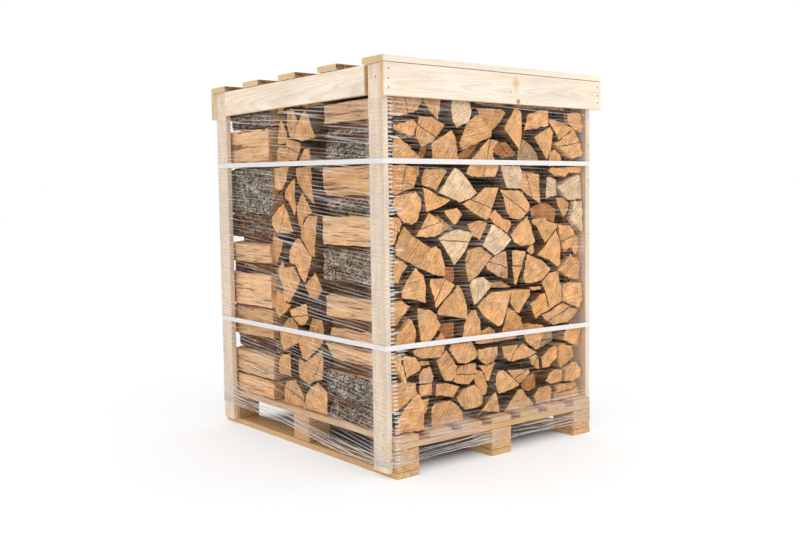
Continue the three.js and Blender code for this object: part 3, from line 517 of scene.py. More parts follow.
def sawn_end():
    look = Finish("sawn log end")
    pith = look.attribute("pith")
    saw = look.attribute("saw")
    x, y, _ = look.parts(pith)
    across, _, off_crack = look.parts(saw)
    blotch = look.noise(pith, (26, 26, 1), 3)
    wobble = look.noise(pith, (60, 60, 1))
    mottle = look.noise(pith, (130, 130, 1), 3, 0.7)
    warm = look.noise(pith, (34, 34, 9)).step(0.42, 0.66)
    radius = look.stretch(pith, (1, 1, 0)).length()
    ring = ((radius + wobble * RING_WOBBLE) / RING).math("FRACT")
    late = ring.step(0.45, 0.9) * (1 - ring.step(0.9, 1.0))
    angle = y.math("ARCTAN2", x)
    rays = look.noise(look.node("CombineXYZ", inputs={0: angle * 55, 1: radius * 30}), (1, 1, 1), 1)
    drift = look.noise(saw, (16, 16, 0))
    marks = (across + drift * SAW_DRIFT).wave(SAW_STEP)
    marks = marks + 0.9 * (across + drift * FINE_SAW_DRIFT).wave(FINE_SAW_STEP)
    scratch = look.noise(saw, (190, 13, 0), 3, 0.65)
    patchy = look.noise(saw, (18, 18, 0)).step(0.35, 0.65)
    tone = 1 + blotch.swing(1.1) + mottle.swing(1.25) + rays.swing(0.5)
    tone = tone + 0.095 * marks * (0.35 + 0.65 * patchy) + scratch.swing(1.8)
    body = look.shade(look.attribute("wood", "Color"), tone)
    body = look.tint(warm * 0.6, body, WARM_END)
    body = look.tint(late * 0.30, body, LATE_END)
    ragged = off_crack + wobble.swing(CRACK_WOBBLE)
    crack = 1 - ragged.math("ABSOLUTE").step(*CRACK_WIDTH)
    body = look.blend(crack * 0.9, body, CRACK)
    height = 0.30 * marks * patchy + scratch * 1.4 + mottle * 0.8 - crack * 2
    return look.close(body, height, 2.2 * MM, rough=0.78, specular=0.25)


SAWN_END = sawn_end()
print("nodes in the sawn end finish:", len(SAWN_END.node_tree.nodes))

# %% [markdown]
# ## Split sides
# An axe tears a log along its fibres, which leaves long streaks, splinters and dark tears. Stretched
# noise gives them: many blobs in a metre across the log and few along it. The sides turned to the light
# are a little paler than the ends. The sides inside the stack are the same wood, nearly black, because
# hardly any light gets in there, and a few dozen bounces of light would be dear to render.

# %% Split side finishes
BLEACHED, DARK_FIBRE = (1.02, 1.06, 1.22), (0.74, 0.60, 0.48)


def split_side(name, base, dark, fibres, tears, cast=(1, 1, 1)):
    look = Finish(name)
    pith = look.attribute("pith")
    wood = look.stretch(look.attribute("wood", "Color"), cast)
    broad = look.noise(pith, (26, 26, 5), 3)
    streak = look.noise(pith, (110, 110, 8), 3, 0.6)
    hair = look.noise(pith, (240, 240, 16), 3, 0.65)
    bleach = look.noise(pith, (40, 40, 6)).step(0.40, 0.64)
    tear = look.noise(pith, (92, 92, 4.5), 4, 0.66).step(0.575, 0.63)
    body = look.shade(wood, base + broad.swing(0.9) + streak.swing(fibres) + hair.swing(1.1))
    body = look.tint(bleach * 0.7, body, BLEACHED)
    body = look.tint(streak.step(0.54, 0.70) * 0.5, body, DARK_FIBRE)
    body = look.blend(tear * tears, body, dark)
    height = streak * 1.0 + hair * 0.5 + broad * 0.6 - tear * 1.0
    return look.close(body, height, 4.6 * MM, specular=0.25)


SPLIT = split_side("torn split side", 1.35, (0.14, 0.055, 0.022), 1.7, 0.70, (0.83, 0.90, 1.02))
SHADED = split_side("dark inner side", 0.30, (0.03, 0.012, 0.006), 0.9, 0.9)
print("nodes in the split side finish:", len(SPLIT.node_tree.nodes))

# %% [markdown]
# ## Bark
# The bark is grey and cracked, with pale lichen on some logs. Three sizes of noise lay patches, crust
# and specks over a dark ground, and the edges of stretched Voronoi cells make the cracks. The three
# kinds of bark differ only in their colours, so one function makes them all.

# %% Bark finishes
BARK_SEAM = (0.030, 0.020, 0.014)


def bark(name, dark, base, patch, speck):
    look = Finish(name)
    pith = look.attribute("pith")
    wide = look.noise(pith, (18, 18, 12), 3, 0.6)
    crust = look.noise(pith, (75, 75, 48), 4, 0.75)
    grit = look.noise(pith, (170, 170, 115), 3, 0.7)
    seam = 1 - look.cells(pith, (48, 48, 22), "DISTANCE_TO_EDGE").step(0.01, 0.10)
    body = look.blend(crust.step(0.40, 0.60), dark, base)
    body = look.blend(wide.step(0.44, 0.62) * crust.step(0.38, 0.56), body, patch)
    body = look.blend(grit.step(0.55, 0.63) * 0.8, body, speck)
    body = look.blend((1 - grit.step(0.38, 0.46)) * 0.85, body, dark)
    body = look.blend(seam * 0.6, body, BARK_SEAM)
    height = crust * 1.0 + grit * 0.5 - seam * 0.8
    return look.close(body, height, 6.0 * MM, rough=0.9, specular=0.2)


LICHEN = bark(
    "lichen grey bark", (0.046, 0.032, 0.022), (0.34, 0.27, 0.192), (0.50, 0.45, 0.35), (0.70, 0.63, 0.50))
DARK_BARK = bark(
    "dark grey bark", (0.044, 0.029, 0.020), (0.38, 0.265, 0.185), (0.52, 0.41, 0.31), (0.70, 0.54, 0.40))
RUSSET_BARK = bark(
    "russet bark", (0.045, 0.026, 0.016), (0.24, 0.15, 0.09), (0.33, 0.26, 0.19), (0.66, 0.30, 0.10))
print("nodes in each bark finish:", len(LICHEN.node_tree.nodes))

# %% [markdown]
# ## The logs' ends, as drawn from the photograph
# A stack could be filled with random wedges, but then no log would lie where the photograph shows it.
# So each log's end is drawn. A line is one log: its tone, for the logs at the sides what skin it shows
# there, the setback of its sawn end in millimetres, and the corners of that end as distance along the
# face and height, in cm. The front row's side logs come first, then those of which only the end shows,
# those on top, the back row's left side, and the ends of the middle row.

# %% Log outlines
LEFT_LOGS = """
tan split 6 2.3,130.5 12,131.2 16.5,130.6 14.2,125.6 7.8,124.3 2,123.4
tan lichen 4 3.6,120.9 12.7,123 13.4,121 12.5,116.8 7.3,117.8 3.2,119.3
tan lichen 8 3,116.6 5,117.4 10,113.8 15.5,109.8 14,108.2 2.2,108
tan split 2 1.2,107.4 12.5,107 13.2,102 12,99.3 3,96.9 1,100
tan brown 14 3,96 6.7,97.2 13.6,98.3 15.5,96.2 16.2,92.4 14.4,87.8 11.7,86.6 8.6,87.4 5.2,90 3,93.2
tan split 5 0.5,89.7 5,89.8 6.5,87.2 2.8,80 0.5,79
pale bark 20 0.5,77.8 5,76.6 6.6,72 4.6,66.8 0.5,66
tan split 12 1.4,60.4 6.5,61 10.2,58.5 7,55.4 3.6,52 1.6,53
tan split 6 9.4,54.8 12.5,50.4 11.3,44.2 2,44.5 5,50.4
tan split 10 0.6,42.6 5.5,42 6.3,38.5 7.8,33.5 8,31 5.5,33.5
tan lichen 8 1.3,32.4 6.7,32 11.7,31.5 12.4,28 4.8,22.7 1.7,22.3 1,25.4
tan bark 4 12.4,27.6 15.5,25 15.3,19 15,14.6 1.4,14.6 4.4,21.5 8.6,25
"""
RIGHT_LOGS = """
tan split 4 90.3,128.2 96,129 98.8,127.4 99.6,122.8 99.4,120.5 94.2,122.3 91.8,124 90.7,125.8
tan lichen 2 94.2,121.8 96.5,119.7 97.6,116.6 99.6,113.5 \
    99.4,112 93,110.1 82.8,115.8 85.3,117.2 90,119.7
tan split 9 80.5,105.8 82.3,106.9 99.2,107.6 99.2,104.9 92.3,104.7 90,103.5 83.5,103.7
pale split 6 96.8,104.1 98,103.5 98.8,99.7 99.5,94.5 91.5,94.2 84.5,99.3 90,101.6 94.2,103.5
pale bark 3 94.5,93.5 99.5,94 99.5,80.8 91.5,86.5 93.4,89.7
tan split 8 85.3,84.5 92.2,84.3 97.6,78.5 90,73.5 88.8,74 88,76.2 86.5,79.3
tan split 22 93.4,76.4 99,80 99.2,73 97,72
tan split 5 88.8,69.6 92.2,72 96.5,71.2 98,68 97.2,62.7 95.7,62 88.8,64.8 85.5,66.8
tan lichen 3 88,61.3 99,60.8 99.5,60 99.4,53.5 97.2,50.4 92.6,52.3 88.2,54
tan split 10 90.5,42.9 99.2,43.2 98.5,39.2 96.8,35.2 92.2,37 88.8,38 89.5,41
tan split 16 85.5,36.5 89.5,37 94.5,35.5 95.8,30.5 90,28 86.8,27.3 86,32.5
tan bark 5 89.2,26.5 92.2,28.2 95.7,28.8 99.2,25.4 98.4,22.3 94,21.1 88.8,21.7
tan split 8 83,20.9 95.8,20.6 97.5,17.5 97.5,14.6 81.7,14.6 84.5,19
"""
INNER_LOGS = """
tan 14 17,130 26,131.2 25,128 24,122.8 20.5,125.8
pale 2 30,131 38,131 39.2,127 37.8,123 31.7,120.5 29.8,122.8 29,127
tan 0 14,123.9 19.5,124 26.3,121.4 20,115.1 15.5,113.4 12.6,116.6 13,120
rust 34 20,114.8 20.3,112 18.5,109.5 16,109 17,113
tan 7 20.2,114.9 23,116.4 29.8,119.7 31.6,117.2 32.8,109.5 32.5,107.6 20,107.8 20.5,112
tan 5 41.3,125.6 43,125.4 49,119.6 48.8,117.8 35,112.8 33.6,115 36,120.4 37.5,123
tan 12 42,128 55.3,128.3 57.4,127 55,124 51.5,121 49.4,119.8 43.8,124.8
rust 38 36,112 46,116 46.6,115 41,110 34,109.6
tan 9 48,117.4 52.6,116.2 50.3,113 50,111 53.5,107 51.3,103.2 40,103.2 37,104.4 40,110
rust 16 53.4,116.2 57.6,116.4 63,112 61,110.8 55.7,110 50.8,112.4
tan 3 61.3,129 64.2,128.2 64.9,126.6 64.8,119.3 63.2,113.4 55.7,120.7 55.5,121.6 59.5,126.6
tan 8 68.4,127 75.7,128.8 79.9,128.8 80,123 75,122 66.5,120.7 67.2,122.8
tan 6 80.3,125.6 85,125 91.5,123 94,122 85.3,117.4 83.8,120.5 81.8,122.8 80.2,124.3
tan 10 72,118.5 75,120 81.5,122.6 83.2,120.5 82.5,116.6 81.8,113.6 79.4,110 73.6,116
grey 18 65,118 68,117.2 71.8,115 74.5,112.4 75.5,109.3 75,107.5 63.5,107.5 64,112
tan 7 83.4,114 86.5,112 87.8,109 87,107.4 80,107.4 80.3,112 81.8,113.4
pale 0 53.8,107.5 63.4,107.2 64.5,105.5 64.2,99.3 63.4,98.8 56.3,99.1 54.5,103.5
tan 11 64.9,103.5 66.5,105.5 75,104.5 75.5,93 69.5,96.2 64.7,98.9
pale 4 78.4,103.4 80,103.4 84.2,102 83.8,99.3 84.3,96 78,94.9 78.2,99.3
tan 13 84.2,95.5 89,95 92.6,92.8 91.5,89.3 89.2,87.2 85.3,92.8
rust 26 71,91.2 76.8,93.2 81,93.2 86.5,90.5 85.3,85.3 79,87 72,88
tan 8 53.4,98.5 63.4,98.3 65.7,97 69.5,93.2 69.7,90.5 64.5,87 59.2,87.8 57.2,90 55.5,94.7
tan 5 34.5,93.5 41.3,96.3 45.5,99.3 52.8,99.3 47.5,88 46,87.4 40,90
pale 0 30.3,106.6 33,105.5 37.5,101.6 39,100 41.5,97.4 39.8,96.2 32.9,94 29.4,95.3 22.3,97.8 27,103
tan 9 17.5,105.8 25.5,106.2 27.5,105.2 22,98.2 20.5,99.1 16,100.5 16,102.8
tan 24 13.6,106.8 16,106.8 16,104 14.8,103 13.5,105
tan 6 16,99.6 19.4,98.5 23.6,96.4 29,95 25.5,93 17.8,90.9 17,93.5
tan 10 19,90.9 20.5,90 28.6,84.8 22,82.1 12.5,82.4 16.3,87
tan 7 25.2,91.3 32,92.2 34.6,89.6 31.7,86.6 30.5,86.2 27.5,88.8
tan 28 22.2,89.2 24.4,89.7 32,84.8 31,83.5 28.8,84.9
tan 3 7.3,86.2 10.5,83.2 19,78.2 11.7,72.6 3.4,76.6 3.4,80 6,84.7
pale 0 22.2,81.7 28.2,84 32.4,84.5 37,83.5 39,82.4 35.2,76.2 30,71.6 25.2,78.2
tan 14 37.5,86.2 44,87.4 47.8,86.2 43.6,80 39.8,82
pale 2 48.6,85.8 50.5,85.2 57.2,81.5 59.2,79.7 55,76.2 50,74.2 43.6,78.2
tan 18 48.8,88.5 52.2,91.4 55.7,87.8 60,86.9 60.3,85 58.4,82.2 55.3,83.5 51,86.2
tan 5 67.8,88.5 69.2,85.8 72.6,78.5 71,77.4 65,77 60.7,78.5 58.6,81.6 60.7,83.5 64.5,86.6
tan 3 70.3,87.2 77.6,87.6 78.8,86.4 84.2,85 84.5,83.5 77.2,77.6 72.6,84.3 69.9,85.8
tan 7 83.8,82.6 85.9,79.3 86.7,75 86.5,69 85.5,67.8 79.9,71 73.4,73.2 76,75 79,78
tan 22 71,77 72.8,77 73.4,74.3 71.8,73.2 69,75
tan 11 60.3,75.5 67.6,75 67,72.5 62,62.5 61,62.7 60.3,69
rosy 6 46,71 48.8,73.3 54.5,75.5 56.3,75.5 57.2,69.3 57.2,65 52,66.3 47,69
tan 4 36.7,76.8 42.5,77.8 49,74.1 45.7,71 42,67.3 37.5,64.9 36,69.5 35.4,74
tan 9 22,79 24,77.4 26.2,71.5 26.2,67.9 23,68.2 19.8,69.4 12.5,72.2 14,74.8 18,77.6
tan 15 3.6,75.8 7,74.5 9.8,72.6 7,70 5,66.5 3,67.8 3.2,72
tan 8 12.2,71.8 15.9,68.8 17,65.4 17,59.2 13.2,60.4 6.7,61.5 6.3,63.5 8.6,67.7
tan 5 19,67.5 26,67.1 30.3,64.8 28.2,61.9 23.6,58.5 21.3,56.5 20,62.3 18.6,65
rust 30 27,71.3 32,70.8 32.4,66 30.7,65.2 26.7,67.6
tan 3 32,64.4 34,62.3 36,56.5 36,52.3 35,51.9 26.7,53.7 22,54.4 22,55.8 25.5,59.6 29,61.5
pale 7 39.4,66 45.2,66.3 49.4,63.8 48.6,62.3 42.5,57.9 40,56.4 38.6,60.4 37.7,63.8
tan 20 50,64.2 55,64.4 59.9,61.7 57,61.5 50,62.1 49,63.5
tan 2 48.5,60.6 59.3,60.6 57.8,57.5 55.8,52.5 53.7,48.2 51.6,47.5 44.4,52 41.3,55.8 43.6,58
tan 5 67.6,73.9 75,71.4 80.5,68 81,67 75.7,63.2 70,62.5 66.5,62.8 65.3,64.6 65.7,67.3
tan 9 80,66 85.5,66.4 86.2,62.3 87.6,59.6 87.6,54 85,52.9 81,51.4 78.8,57.7 75.8,62.4
tan 21 70.6,61 76.4,61 77,59.6 73,59.2 70.8,60
tan 12 60.3,60.6 69.8,60.3 69.8,58 63.8,51.4 61.8,52.2 59.4,55.4 59.6,58
tan 4 74.5,58 77.6,58.2 79,54 80.3,51.4 75,50.2 72.2,48.4 71,50 68.8,54.6 72.6,56.2
tan 6 56.8,54.2 60,53 64.5,49.6 65.3,45.5 65,43.8 53.4,44 55.7,49.6
tan 13 39,54.6 41,54.6 43.6,50.4 44,45.8 43.5,43.8 34.6,43.8 35.2,48.8 36.7,52.3
tan 4 12.9,57.7 19,56.5 21.7,54.6 23.4,50.4 20.5,47.3 18.2,45.5 18,44 14.3,44 13,52
rust 33 24,50.8 32.4,50.6 32,45.5 31.5,44 27,44 25,48.3
tan 14 20.6,44.8 24.6,48 26.5,45 26,44 20.6,43.8
tan 25 44.6,46 49,47.6 52.6,45.6 52.3,44 44.8,44
tan 27 65.8,47 71,46.5 79,45.2 79,44 65.8,44
tan 9 76,49.8 81.2,50.6 85.5,52.6 88.3,53.3 92.5,51.6 97,49.8 94,47 91,45.5 83,45 78,47.5
tan 7 10.5,43 15,43.6 25.5,43.4 25.3,41.5 23.5,39.2 15,39.8 11.5,41
tan 5 28.2,43.4 38.6,43.2 40.5,40.4 42,38 39.8,36.5 35.5,35.4 32,35.8 27.2,41.5
tan 10 26.5,41.3 31.6,35 30.9,31.5 29,29.9 25.5,30.2 21.7,38 24,39.4
tan 16 6.9,41.8 12.5,40.4 15.2,36.5 14,35 10.5,34.2 8.4,33.2 7,39
rosy 30 15.5,33.8 17.5,35.8 20.5,35.8 22.3,32.3 21.3,30 15.2,30.2
tan 36 14.8,38.6 20.3,38 21,36.4 17.5,36.2 15.6,37
tan 32 15.6,29.6 21.4,29.8 21.6,27.5 21.2,25.6 16,25.6
tan 12 21.9,29.6 26,29.6 33,27.2 31.3,25.4 29.8,23.7 24,25 21.4,25.4
tan 8 18.8,21.5 20.5,23 28,22.7 31.5,20.8 34.3,17.5 34,14.6 18.7,14.6
tan 23 15.9,24.6 19.3,24.8 18.3,20 16.5,19 15.7,21
tan 11 32,34.5 36,35 41,35 41.3,30 37.5,27.4 33,28 29.6,29.5
tan 4 39.8,27.2 42.5,24.6 44,21.6 43.6,19.3 41.3,18.5 \
    34.8,18.5 30.8,22.2 30.5,23.8 33.6,26.2 37.5,26.9
tan 19 41.6,32.5 45.2,31.2 47.6,25.4 46.7,22.5 44.8,21.9 41.5,27 40.6,29
tan 22 43,39.6 53,39.8 53.3,36 51.5,34.4 48,33.3 45,34.5 43.5,36
tan 28 44,33.4 49,32.8 52.8,33.8 51,30.5 49.3,27 47.8,27 46,31
tan 9 54,39.6 63.4,39.6 62.6,38 60,36 58.8,33.2 55,35.5
tan 17 41,43.5 52,43.8 63,43 62,42 52.5,41.5 44,41.5 42,41.8
tan 6 65.5,40 68.3,37.5 72.8,35.5 70,34.3 66,33.8 59.6,33.2 59.5,34.8 61,37
tan 15 69.7,33.8 73.5,34.4 75,32 75.5,28 73.5,28.7 70.7,31
tan 10 66,43.4 78,43.2 76,40 74.5,36.7 73,36.2 69.5,38.5 67,41
grey 31 78.5,42.8 84,42.6 85.5,39 81,37.2 76,35.7 75.2,36.7 76.7,40
tan 7 75.7,32.8 80,35.8 84,36.8 85,35 84.5,32 79.5,28.8 76.2,28.5
tan 5 80.3,26.8 82.6,27.3 87.7,27 87.3,22 80.3,22 77.5,23.5
tan 12 74.5,21 80.5,21.3 82,19.7 81,14.6 73.2,14.6 71.7,18
tan 3 62.2,22.3 64.2,22 67.2,18.8 71,15.5 70.5,14.6 54.2,14.6 58.5,19
tan 6 52.2,30.6 54.5,30.8 59.2,27.3 63.2,24 60,22.8 52.3,21.7 50.5,25.4 50.9,28.8
tan 14 57.8,30.1 69,29 69.8,27.6 64.5,24.1 60.3,27
rust 18 69.5,26.8 72.6,27.2 73.3,21.4 69.5,20.2 66,21.4 65,23.5
tan 7 44.5,18 49,22 51,22.8 52,20 53,14.6 40,14.6 44,16.5
"""
TOP_LOGS = """
tan 18 2.5,131.6 12.5,132 14,136 8,138.6 3,137
tan 34 13.6,131.6 24,132.4 22,137.8 16,138.2
tan 20 24.6,132.2 35,131.8 36.5,134.5 30,139 25,136.5
tan 26 36.6,131.4 46.5,129.4 48,134 42,138.2 38,136.4
tan 36 47.4,129.4 58,129.6 59,134 54,138 49,135.8
tan 22 59.2,130 68,129.2 69.5,134 64,138.8 60,135
tan 30 68.6,129.2 79,129.8 80,135 74,138 70,136
tan 24 80.4,129.6 90,129.4 91,134.5 85,138.6 81.5,135.5
tan 28 91,129.8 99,129.8 98.5,136 94.5,138.4 92,136
"""
BACK_LEFT_LOGS = """
tan brown 12 1.5,137.4 9,138.2 10.5,131 2,130.4
tan brown 20 3.4,130.2 11,129.6 10.5,125.8 3.8,125.4
tan split 6 0.8,124.4 10.5,125 11,117 10,110.4 1,109.8
tan lichen 15 1.4,108.4 8.5,109.4 11,101 9.5,91 2.6,90
tan russet 10 2,89.6 9.6,90.6 10.4,85 8,79.8 2.4,81
tan split 4 0.8,77.6 8.5,78.6 10.6,73 9,69.4 1,70.2
tan brown 18 3.6,68.8 10.5,68.6 10.6,66 4,66
tan split 5 0.6,65.2 9.5,65.6 11,58 9.2,52.4 0.8,52.2
tan split 9 1,51.2 10.5,51.6 10.6,45.5 8.8,39 1.2,39.4
tan bark 24 4,38.6 10.5,38.4 9.5,33 4.6,33.4
tan split 7 0.8,32.2 9,32.8 11,26 10,22.6 1,22.8
tan split 11 0.8,22 10.5,21.8 11,14.6 0.8,14.6
"""
MIDDLE_LOGS = """
tan 14 76,129 77,135 71,137.5 68.9,132
tan 10 68.2,131.9 67,138 60,137 59.7,131.4
tan 16 59.2,131.4 58.5,137 51,137.5 49,131 55,130.2
tan 8 68.7,131 64.5,131 60.3,125.2 65.2,122.2 67.8,121.6 68.8,125
tan 0 54.9,129.5 51.6,125.6 50.4,122.7 49,120 47.4,119.1 \
    57.5,117.8 64.5,119.8 65.6,121.4 59.4,125.1 57.5,127.5
tan 14 74.2,127.5 72.3,126 70,122 69.9,118 76.8,117.7 76.5,121.4
tan 6 69,119.5 59.4,117.6 59.4,115.6 62,110.7 66.5,111 69.7,115
tan 10 76.2,116.5 70.4,116 67.4,111.5 67.4,110.5 77.5,110.3 77,114
tan 4 56.2,115 52.3,115.3 52,110 60.5,110.3
tan 6 62.4,108 52,108.4 52,100.7 50.5,93.9 55.5,96.9 61.3,102 62.6,106
tan 3 78,108.4 66.7,108.8 69.2,103.3 73,99.7 78,99.8 78.7,104.6
tan 12 65.2,104 64.5,103.3 64.9,96.9 63.6,93 64.9,89.3 66.5,91.7 69.7,95.2 72.3,96.4 72,99.3 69,102
tan 9 58.7,98.5 52.6,90.9 58,88.7 60,84.6 62.4,86 62.8,93 60.7,96.2
tan 2 71.3,94.4 67.8,90.2 65.8,85.3 64.8,83.3 71,82.6 78,82.9 81,85.9 81,89 76,92.2
tan 4 54.2,89.6 47.4,90 49.7,81.4 51,73.9 54.2,75 60.5,82 59.2,85.3
tan 7 61.6,81.2 64.5,80 69,76.2 69.6,71 64.5,70.2 60.7,65 58.2,63.8 54.2,70 52.5,74 57,77.3
tan 11 80.7,82.2 73.8,79 75.5,75 79.4,69.7 81.2,73.7 82.3,80
tan 18 76,71.6 74.5,68.5 74.2,64 75.7,60 80.5,67.5
tan 5 73.4,68 71,69.6 66,69.8 61,64.4 64.5,60 69,55.2 73,55.8 73.8,62
tan 3 50.4,68.5 48.4,66 45.7,62 49,58.4 54.2,58.7 57.3,62.7
tan 13 80,59.3 75.5,58.8 73.2,55 69.4,54.2 75,50.2 78.7,48.2 82,52.4
tan 8 69.7,52.4 57,56.1 56.4,50.2 59.4,47.4 63.3,46.8 69,50.3
tan 16 72,49 69,49.3 65.2,46.5 64.7,44 77.5,44 75,47
tan 9 77.5,43.8 62.8,43.8 63.5,40 75.5,35.2 77.5,39
tan 20 55.5,50.3 49,50 47.2,46.6 47.5,44.2 58,44.2 57.5,47
tan 4 62.4,44 46.7,44 46.7,41.7 57.5,33.9 60,33.9 62.1,39
tan 6 47.2,39.3 46.5,33.7 47,27.5 50.4,26.8 59.2,33
tan 10 70.2,35 70,25.5 78.7,25.5 79.4,30.5 76.8,33.5
tan 22 65.8,33.5 59.4,32.2 51.4,27.3 59.4,23.6 65.8,25.5 66.5,30
tan 5 72.3,23.8 65.8,25.1 60.2,18.9 60.7,14.6 75,14.6 74.2,20.8
tan 3 55.5,23.2 50.4,26.1 44.5,23.4 44,14.6 59.4,14.6 58,20
"""


def read_logs(text, sided):
    logs = []
    for line in text.strip().splitlines():
        tone, *rest = line.split()
        side = rest.pop(0) if sided else "inner"
        setback, *corners = rest
        outline = [tuple(float(n) * CM for n in pair.split(",")) for pair in corners]
        logs.append({"tone": tone, "side": side, "setback": float(setback) * MM, "outline": outline})
    return logs


left_logs, right_logs, back_left_logs = (
    read_logs(text, sided=True) for text in (LEFT_LOGS, RIGHT_LOGS, BACK_LEFT_LOGS)
)
inner_logs, top_logs, middle_logs = (
    read_logs(text, sided=False) for text in (INNER_LOGS, TOP_LOGS, MIDDLE_LOGS)
)
drawn = (left_logs, right_logs, inner_logs, top_logs, back_left_logs, middle_logs)
print("logs drawn:", sum(map(len, drawn)))

# %% [markdown]
# ## One split log
# A log could be sculpted, or cut by booleans from a round trunk, but hundreds of them need something
# quicker. Its corners become one face, whose edges are cut into short steps, and an extrude draws it
# out to the log's length. Logs that show along their sides are cut more finely, lengthwise too.

# %% The block of a log
SHOWN_STEP, HIDDEN_STEP = 8 * MM, 11 * MM
SHOWN_CUTS, HIDDEN_CUTS = 28, 2


def of_kind(items, kind):
    return [item for item in items if isinstance(item, kind)]


def log_mesh(outline, length, whole):
    """The sawn end drawn out to the log's length, with finer steps where its sides show."""
    bm = bmesh.new()
    bmesh.ops.contextual_create(bm, geom=[bm.verts.new((x, y, 0.0)) for x, y in outline])
    for edge in bm.edges[:]:
        cuts = int(edge.calc_length() / (SHOWN_STEP if whole else HIDDEN_STEP))
        if cuts:
            bmesh.ops.subdivide_edges(bm, edges=[edge], cuts=cuts)
    bm.faces.ensure_lookup_table()
    grown = bmesh.ops.extrude_face_region(bm, geom=[bm.faces[0]])["geom"]
    bmesh.ops.translate(bm, vec=(0, 0, length), verts=of_kind(grown, bmesh.types.BMVert))
    runs = [edge for edge in bm.edges if abs(edge.verts[0].co.z - edge.verts[1].co.z) > length / 2]
    cuts = SHOWN_CUTS if whole else HIDDEN_CUTS
    bmesh.ops.subdivide_edges(bm, edges=runs, cuts=cuts, use_grid_fill=True)
    bmesh.ops.recalc_face_normals(bm, faces=bm.faces)
    return bm


print("cuts along a log:", SHOWN_CUTS, "where it shows and", HIDDEN_CUTS, "elsewhere")

# %% [markdown]
# An axe leaves no flat side. A displacement modifier would push all ways alike, so noise that changes
# slowly along the log and quickly across it moves the sides in and out instead. The saw leaves the end
# leaning a little, and its rim gets a small bevel.

# %% Torn sides and the sawn end
SHOWN_TEAR, HIDDEN_TEAR, TEAR_BIAS = 0.0052, 0.0025, 0.25
COARSE_TEAR, FINE_TEAR, FINE_SHARE = 38, 105, 0.6
BARKED = ("lichen", "bark", "russet")
BARK_TEAR, BARK_STRETCH, WOOD_STRETCH = 1.3, 2.5, 6.0
END_LEAN, END_INSET = 0.05, 4 * MM
RIM, RIM_REACH, SAWN_NORMAL = 1.3 * MM, 20 * MM, -0.8
LEAST_SIDEWAYS = 0.01
TINY = 1e-6


def tear_at(point, seed, stretch):
    """Noise for a torn surface: quick across the log and slow along it."""
    squeezed = Vector((point.x, point.y, point.z / stretch))
    coarse = noise.noise(squeezed * COARSE_TEAR + seed)
    return coarse + FINE_SHARE * noise.noise(squeezed * FINE_TEAR + seed)


def tear_sides(bm, barked, whole):
    seed = Vector([chance.uniform(-80, 80) for _ in range(3)])
    depth = (SHOWN_TEAR if whole else HIDDEN_TEAR) * (BARK_TEAR if barked else 1.0)
    stretch = BARK_STRETCH if barked else WOOD_STRETCH
    moves = []
    for vert in bm.verts:
        out = vert.normal.copy()
        out.z = 0.0
        if out.length > LEAST_SIDEWAYS:
            moves.append((vert, out.normalized() * depth * (tear_at(vert.co, seed, stretch) - TEAR_BIAS)))
    for vert, move in moves:
        vert.co += move


def is_rim(edge):
    """Whether an edge lies between the sawn end and a side."""
    near = max(vert.co.z for vert in edge.verts) < RIM_REACH
    return near and len({face.normal.z < SAWN_NORMAL for face in edge.link_faces}) == 2


def finish_end(bm, centre):
    """Tilts the sawn end a little and breaks its rim."""
    lean = Vector((chance.uniform(-END_LEAN, END_LEAN), chance.uniform(-END_LEAN, END_LEAN)))
    for vert in bm.verts:
        if vert.co.z < TINY:
            vert.co.z += (vert.co.xy - centre).dot(lean) + END_INSET
    rim = [edge for edge in bm.edges if is_rim(edge)]
    bmesh.ops.bevel(bm, geom=rim, offset=RIM, segments=1, profile=0.5, affect="EDGES", material=-1)


print(f"tears are about {SHOWN_TEAR * 1000:.1f} mm deep")

# %% [markdown]
# A log's faces take different finishes, and a mesh keeps a number for that in each face: the sawn end,
# the side that faces outwards, bark on what was the outside of the trunk, and painted shade, the same
# wood nearly black, on what only shows through a gap.

# %% Skins of a log
SKINS = {"sawn": 0, "split": 1, "inner": 2, "lichen": 3, "bark": 4, "russet": 5, "brown": 4}
LOG_FINISHES = (SAWN_END, SPLIT, SHADED, LICHEN, DARK_BARK, RUSSET_BARK)
END_FACING, SIDE_FACING, BARK_FROM = 0.6, 0.35, 0.86


def skin_of(log, face, outward, pith, reach, has_bark):
    # Deep logs are painted shade on every face.
    if log["side"] == "deep":
        return SKINS["inner"]
    if abs(face.normal.z) > END_FACING:
        return SKINS["sawn"]
    hidden = log["side"] == "inner"
    facing = outward is not None and face.normal.dot(outward) > SIDE_FACING
    if facing and not hidden:
        return SKINS[log["side"]]
    if has_bark and (face.calc_center_median().xy - pith).length > reach * BARK_FROM:
        return SKINS["bark"]
    # Hidden sides take the nearly black inner finish: painted shade.
    return SKINS["inner"] if hidden and not facing else SKINS["split"]


print("log finishes:", len(LOG_FINISHES))

# %% [markdown]
# Each log has a wood of its own. A material for each would make hundreds, so the mesh carries a tint and
# the coordinates that the shared finishes read, with the tilt of the saw and the crack drawn at random.

# %% Coordinates of a log
TONES = {
    "tan": (0.71, 0.388, 0.168),
    "pale": (0.71, 0.515, 0.318),
    "grey": (0.44, 0.31, 0.185),
    "rosy": (0.65, 0.38, 0.215),
    # The rust tone is painted shade: a darker red-brown for the log ends that stand back in shadow, and for
    # the deep logs.
    "rust": (0.47, 0.195, 0.065),
}
SAW_TILT, SAW_TILT_SPREAD = math.radians(-38), math.radians(22)
CRACKED_SHARE, NO_CRACK = 0.2, 1.0
COOLEST, LIFT_SPREAD, LIGHTEST = -0.8, 0.09, 1.09
GREEN_WARMTH, BLUE_WARMTH = 0.03, 0.09


